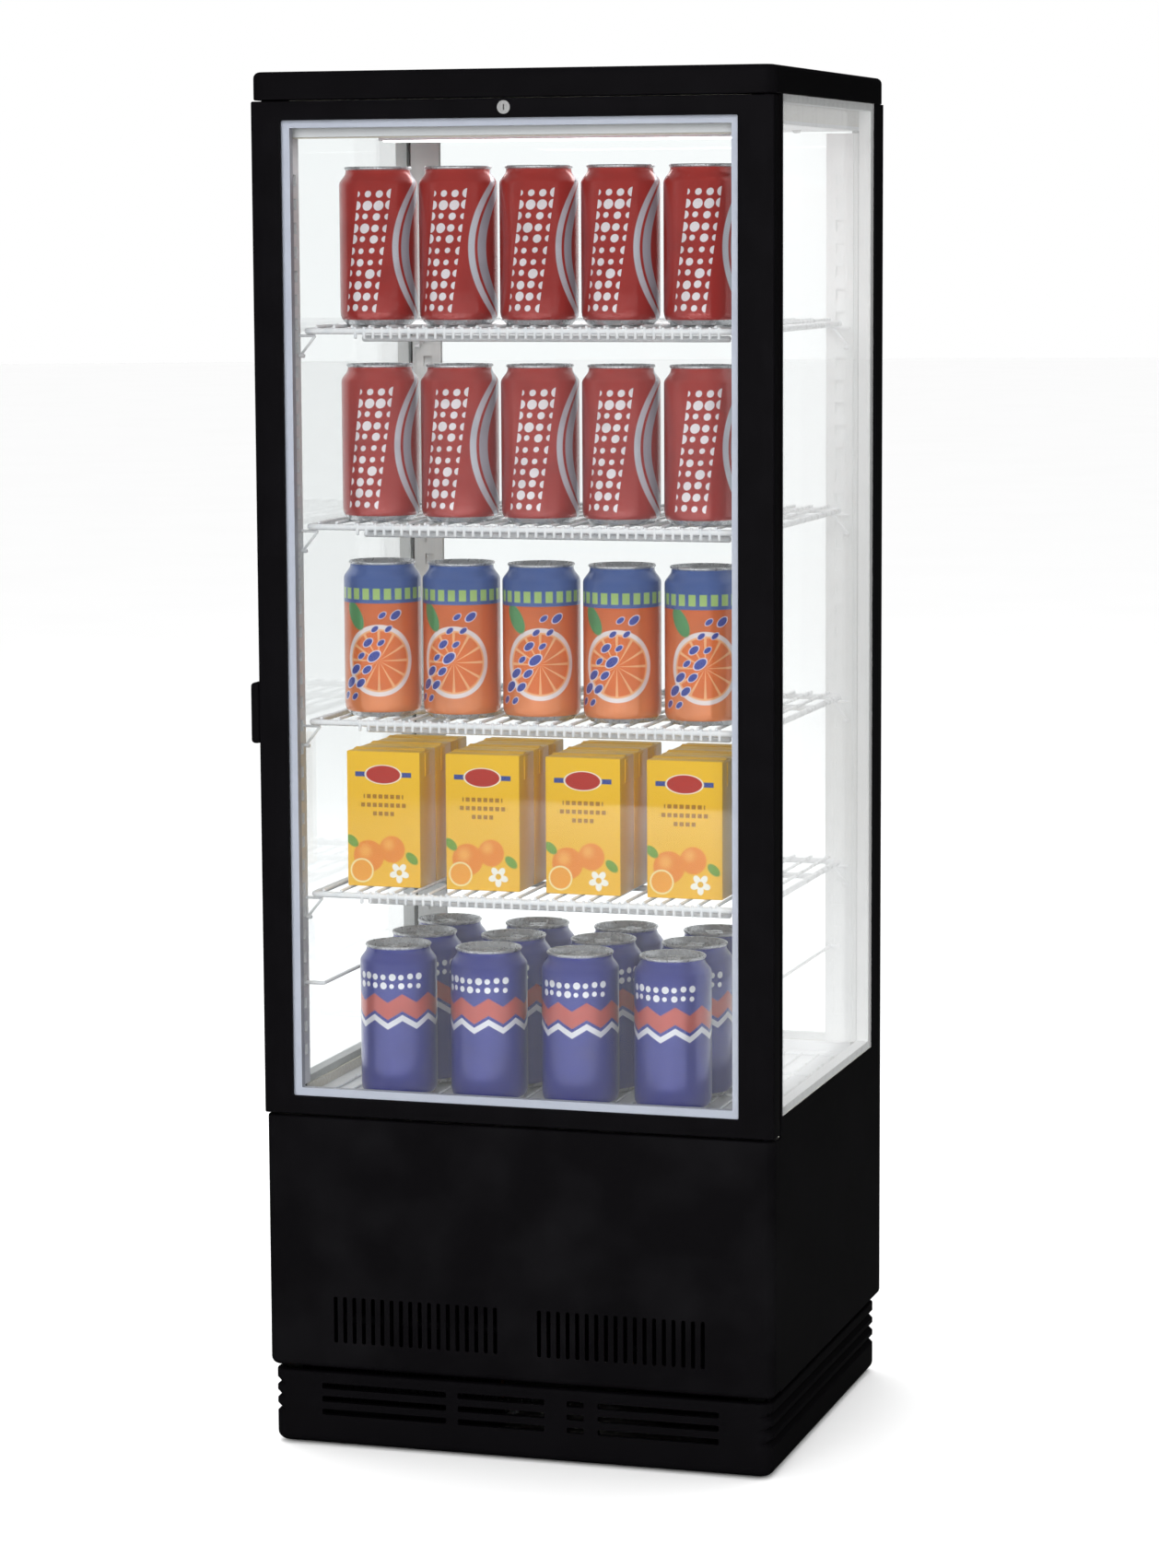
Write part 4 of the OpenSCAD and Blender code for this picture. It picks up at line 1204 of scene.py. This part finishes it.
@dataclass
class Stock(Assembly):
    """What the cooler holds: rows of cans and blocks of cartons that ride on their shelves."""

    can_rows: tuple = (
        ("stock_1", "can_red", "shelf_1"),
        ("stock_2", "can_red", "shelf_2"),
        ("stock_3", "can_orange", "shelf_3"),
    )
    row_turns: tuple = (2, -5, 4, -3, 6)
    row_count: int = 5
    floor_columns: int = 4
    floor_rows: int = 3
    carton_columns: int = 4
    carton_rows: int = 3
    carton_cell: Vector = field(default_factory=lambda: Vector((64, 40)) * MM)
    carton_gap: Vector = field(default_factory=lambda: Vector((1.4, 0.4)) * MM)

    def spread(self, low: float, high: float, count: int, margin: float) -> list[float]:
        """Even places from one margin inside low to one margin inside high."""
        first, last = low + margin, high - margin
        return [first + i * (last - first) / (count - 1) for i in range(count)]

    def row(self, node: str, slot: str, body: str) -> None:
        """One row of cans at the front of a shelf.

        Args:
            node: The frame's node for the row.
            slot: The slot of the cans' print.
            body: The shelf's body.
        """
        lo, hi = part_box(node)
        can = Can(hi.z - lo.z)
        pattern = can.build()
        piece = Workpiece(f"cans_on_{body}")
        for x, turn in zip(self.spread(lo.x, hi.x, self.row_count, can.radius), self.row_turns):
            place = Matrix.Translation((x, (lo.y + hi.y) / 2, lo.z))
            piece.include(pattern, place @ Matrix.Rotation(math.radians(turn), 4, "Z"))
        self.fit(piece, body, node, slot, "can_lid")

    def floor_cans(self) -> None:
        """Cans three deep on the floor rack."""
        lo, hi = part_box("stock_5")
        can = Can(hi.z - lo.z)
        pattern = can.build()
        piece = Workpiece("cans_on_floor_rack")
        for j, y in enumerate(self.spread(lo.y, hi.y, self.floor_rows, can.radius)):
            for i, x in enumerate(self.spread(lo.x, hi.x, self.floor_columns, can.radius)):
                turn = math.radians(self.row_turns[(i + 2 * j) % len(self.row_turns)] * (1 + 3 * j))
                piece.include(pattern, Matrix.Translation((x, y, lo.z)) @ Matrix.Rotation(turn, 4, "Z"))
        self.fit(piece, "cabinet", "stock_5", "can_blue", "can_lid")

    def cartons(self) -> None:
        """Juice bricks three deep on the fourth shelf."""
        lo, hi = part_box("stock_4")
        size = self.carton_cell - self.carton_gap
        pattern = Carton(Vector((*size, hi.z - lo.z))).build()
        piece = Workpiece("cartons_on_shelf_4")
        for x in self.spread(lo.x, hi.x, self.carton_columns, self.carton_cell.x / 2):
            for y in self.spread(lo.y, hi.y, self.carton_rows, self.carton_cell.y / 2):
                piece.include(pattern, Matrix.Translation((x, y, lo.z)))
        self.fit(piece, "shelf_4", "stock_4", "juice_carton")

    def build(self) -> None:
        """Makes all the stock."""
        for node, slot, body in self.can_rows:
            self.row(node, slot, body)
        self.cartons()
        self.floor_cans()


@dataclass
class Studio:
    """Floor, lights and camera. None of it belongs to the cooler."""

    eye: Vector = field(default_factory=lambda: Vector((1.049, -3.447, 0.985)))
    yaw: float = math.radians(-16.94)
    pitch: float = math.radians(-7.22)
    roll: float = math.radians(-0.31)
    lens_mm: float = 100.37
    floor_size: float = 60.0
    front: float = 0.22
    behind: float = 1.04
    in_satin: float = 0.01

    def camera(self) -> None:
        """Long lens about a metre above the floor, in front of the cooler and to its right."""
        ahead = Vector((math.sin(self.yaw), math.cos(self.yaw), 0))
        forward = ahead * math.cos(self.pitch) + Vector((0, 0, math.sin(self.pitch)))
        level = Vector((math.cos(self.yaw), -math.sin(self.yaw), 0))
        rise = level.cross(forward)
        right = level * math.cos(self.roll) + rise * math.sin(self.roll)
        up = rise * math.cos(self.roll) - level * math.sin(self.roll)
        data = bpy.data.cameras.new("studio_camera")
        data.lens = self.lens_mm
        data.sensor_width = 36.0
        data.clip_end = 200
        camera = bpy.data.objects.new("studio_camera", data)
        axes = Matrix((right, up, -forward)).transposed().to_4x4()
        camera.matrix_world = Matrix.Translation(self.eye) @ axes
        bpy.context.scene.collection.objects.link(camera)
        bpy.context.scene.camera = camera

    def floor(self) -> None:
        """Pale seamless floor, which looks dark grey in blurred reflections."""
        shader = Shader("pale_studio_floor")
        scuff = shader.grain(400.0, 2.0)
        pale = shader.paint("fbfbfb", scuff.above(0.6, 0.2) * 0.3, "f6f6f6")
        rays = shader.add("ShaderNodeLightPath")
        blurred = Pattern(shader, rays.outputs["Is Glossy Ray"]) - rays.outputs["Is Singular Ray"]
        shader.set(Base_Color=shader.paint(pale, blurred.combine("MAXIMUM", 0.0), "242424"))
        shader.set(Roughness=0.9, Specular_IOR_Level=0.05)
        bm = bmesh.new()
        bmesh.ops.create_circle(bm, cap_ends=True, segments=64, radius=self.floor_size / 2)
        mesh = bpy.data.meshes.new("studio_floor")
        bm.to_mesh(mesh)
        bm.free()
        mesh.materials.append(shader.material)
        floor = bpy.data.objects.new("studio_floor", mesh)
        bpy.context.scene.collection.objects.link(floor)

    def light(self, name: str, kind: str, power: float, place: Matrix, **settings: object) -> None:
        """Adds one soft light that lights things but is never seen or mirrored.

        Args:
            name: The light's name.
            kind: Its type.
            power: Its power in watts, or its strength if it is a sun.
            place: Where it hangs and how it is turned.
            settings: Its further attributes.
        """
        data = bpy.data.lights.new(name, kind)
        data.energy = power
        for key, value in settings.items():
            setattr(data, key, value)
        light = bpy.data.objects.new(name, data)
        light.matrix_world = place
        light.visible_camera = light.visible_glossy = light.visible_transmission = False
        bpy.context.scene.collection.objects.link(light)

    def lamp(self, name: str, place: tuple, target: tuple, size: tuple, power: float) -> None:
        """Adds one rectangular lamp.

        Args:
            name: The lamp's name.
            place: Where it hangs.
            target: What it points at.
            size: Its width and height in metres.
            power: Its power in watts.
        """
        aim = (Vector(target) - Vector(place)).to_track_quat("-Z", "Y").to_matrix().to_4x4()
        hung = Matrix.Translation(place) @ aim
        self.light(name, "AREA", power, hung, shape="RECTANGLE", size=size[0], size_y=size[1])

    def surroundings(self) -> None:
        """White surroundings: bright behind the cooler, dimmer in front, and faint in blurred reflections.

        Clear glass mirrors the white studio, while the satin black panels see little of it, as if they were
        flagged off with black card.
        """
        world = bpy.data.worlds.new("white_studio")
        world.use_nodes = True
        tree = world.node_tree
        tree.nodes.clear()
        spot = tree.nodes.new("ShaderNodeTexCoord")
        split = tree.nodes.new("ShaderNodeSeparateXYZ")
        ramp = tree.nodes.new("ShaderNodeMapRange")
        ends = {"From Min": -0.7, "From Max": 0.1, "To Min": self.front, "To Max": self.behind}
        for key, value in ends.items():
            ramp.inputs[key].default_value = value
        path = tree.nodes.new("ShaderNodeLightPath")
        seen = tree.nodes.new("ShaderNodeMix")
        seen.inputs[3].default_value = 1.0
        blurred = tree.nodes.new("ShaderNodeMath")
        blurred.operation, blurred.use_clamp = "SUBTRACT", True
        dimmed = tree.nodes.new("ShaderNodeMix")
        dimmed.inputs[3].default_value = self.in_satin
        background = tree.nodes.new("ShaderNodeBackground")
        output = tree.nodes.new("ShaderNodeOutputWorld")
        for start, end in (
            (spot.outputs["Generated"], split.inputs[0]),
            (split.outputs["Y"], ramp.inputs["Value"]),
            (path.outputs["Is Camera Ray"], seen.inputs[0]),
            (ramp.outputs[0], seen.inputs[2]),
            (path.outputs["Is Glossy Ray"], blurred.inputs[0]),
            (path.outputs["Is Singular Ray"], blurred.inputs[1]),
            (blurred.outputs[0], dimmed.inputs[0]),
            (seen.outputs[0], dimmed.inputs[2]),
            (dimmed.outputs[0], background.inputs["Strength"]),
            (background.outputs[0], output.inputs["Surface"]),
        ):
            tree.links.new(start, end)
        background.inputs["Color"].default_value = linear("ffffff")
        bpy.context.scene.world = world

    def build(self) -> None:
        """Sets up the whole studio."""
        self.camera()
        self.floor()
        self.surroundings()
        self.lamp("overhead_lamp", (-0.6, 0.6, 3.2), (0, 0, 0.4), (3.0, 3.0), 60)
        self.lamp("front_softbox", (0.4, -3.6, 1.5), (0, 0, 0.7), (3.4, 3.0), 165)
        self.lamp("cabinet_lamp", (0, -0.04, 1.055), (0, -0.04, 0.3), (0.30, 0.12), 0.6)
        self.light("soft_skylight", "SUN", 0.8, Matrix(), angle=math.radians(120))
        scene = bpy.context.scene
        scene.view_settings.view_transform = "Standard"
        scene.view_settings.look = "None"


def dress_frame(frame: dict, finishes: dict[str, bpy.types.Material]) -> None:
    """Gives every node of the frame the finish of its material slot.

    Args:
        finishes: Material slot to material.
    """
    for entry in frame["record"]["subparts"]:
        obj = frame["nodes"].get(entry["node"])
        if obj is None:
            continue
        material = finishes[entry["material_slot"]]
        if not obj.material_slots:
            obj.data.materials.append(material)
        for slot in obj.material_slots:
            slot.material = material
        log.info("%s is dressed in %s", entry["node"], material.name)


def main() -> None:
    """Builds the cooler's finished look around the frame."""
    logging.basicConfig(level=logging.INFO, format="%(name)s: %(message)s")
    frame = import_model()
    finishes = make_finishes()
    dress_frame(frame, finishes)
    Studio().build()
    for assembly in (Housing, Door, WireGoods, Stock):
        assembly(finishes).build()


if __name__ == "__main__":
    main()
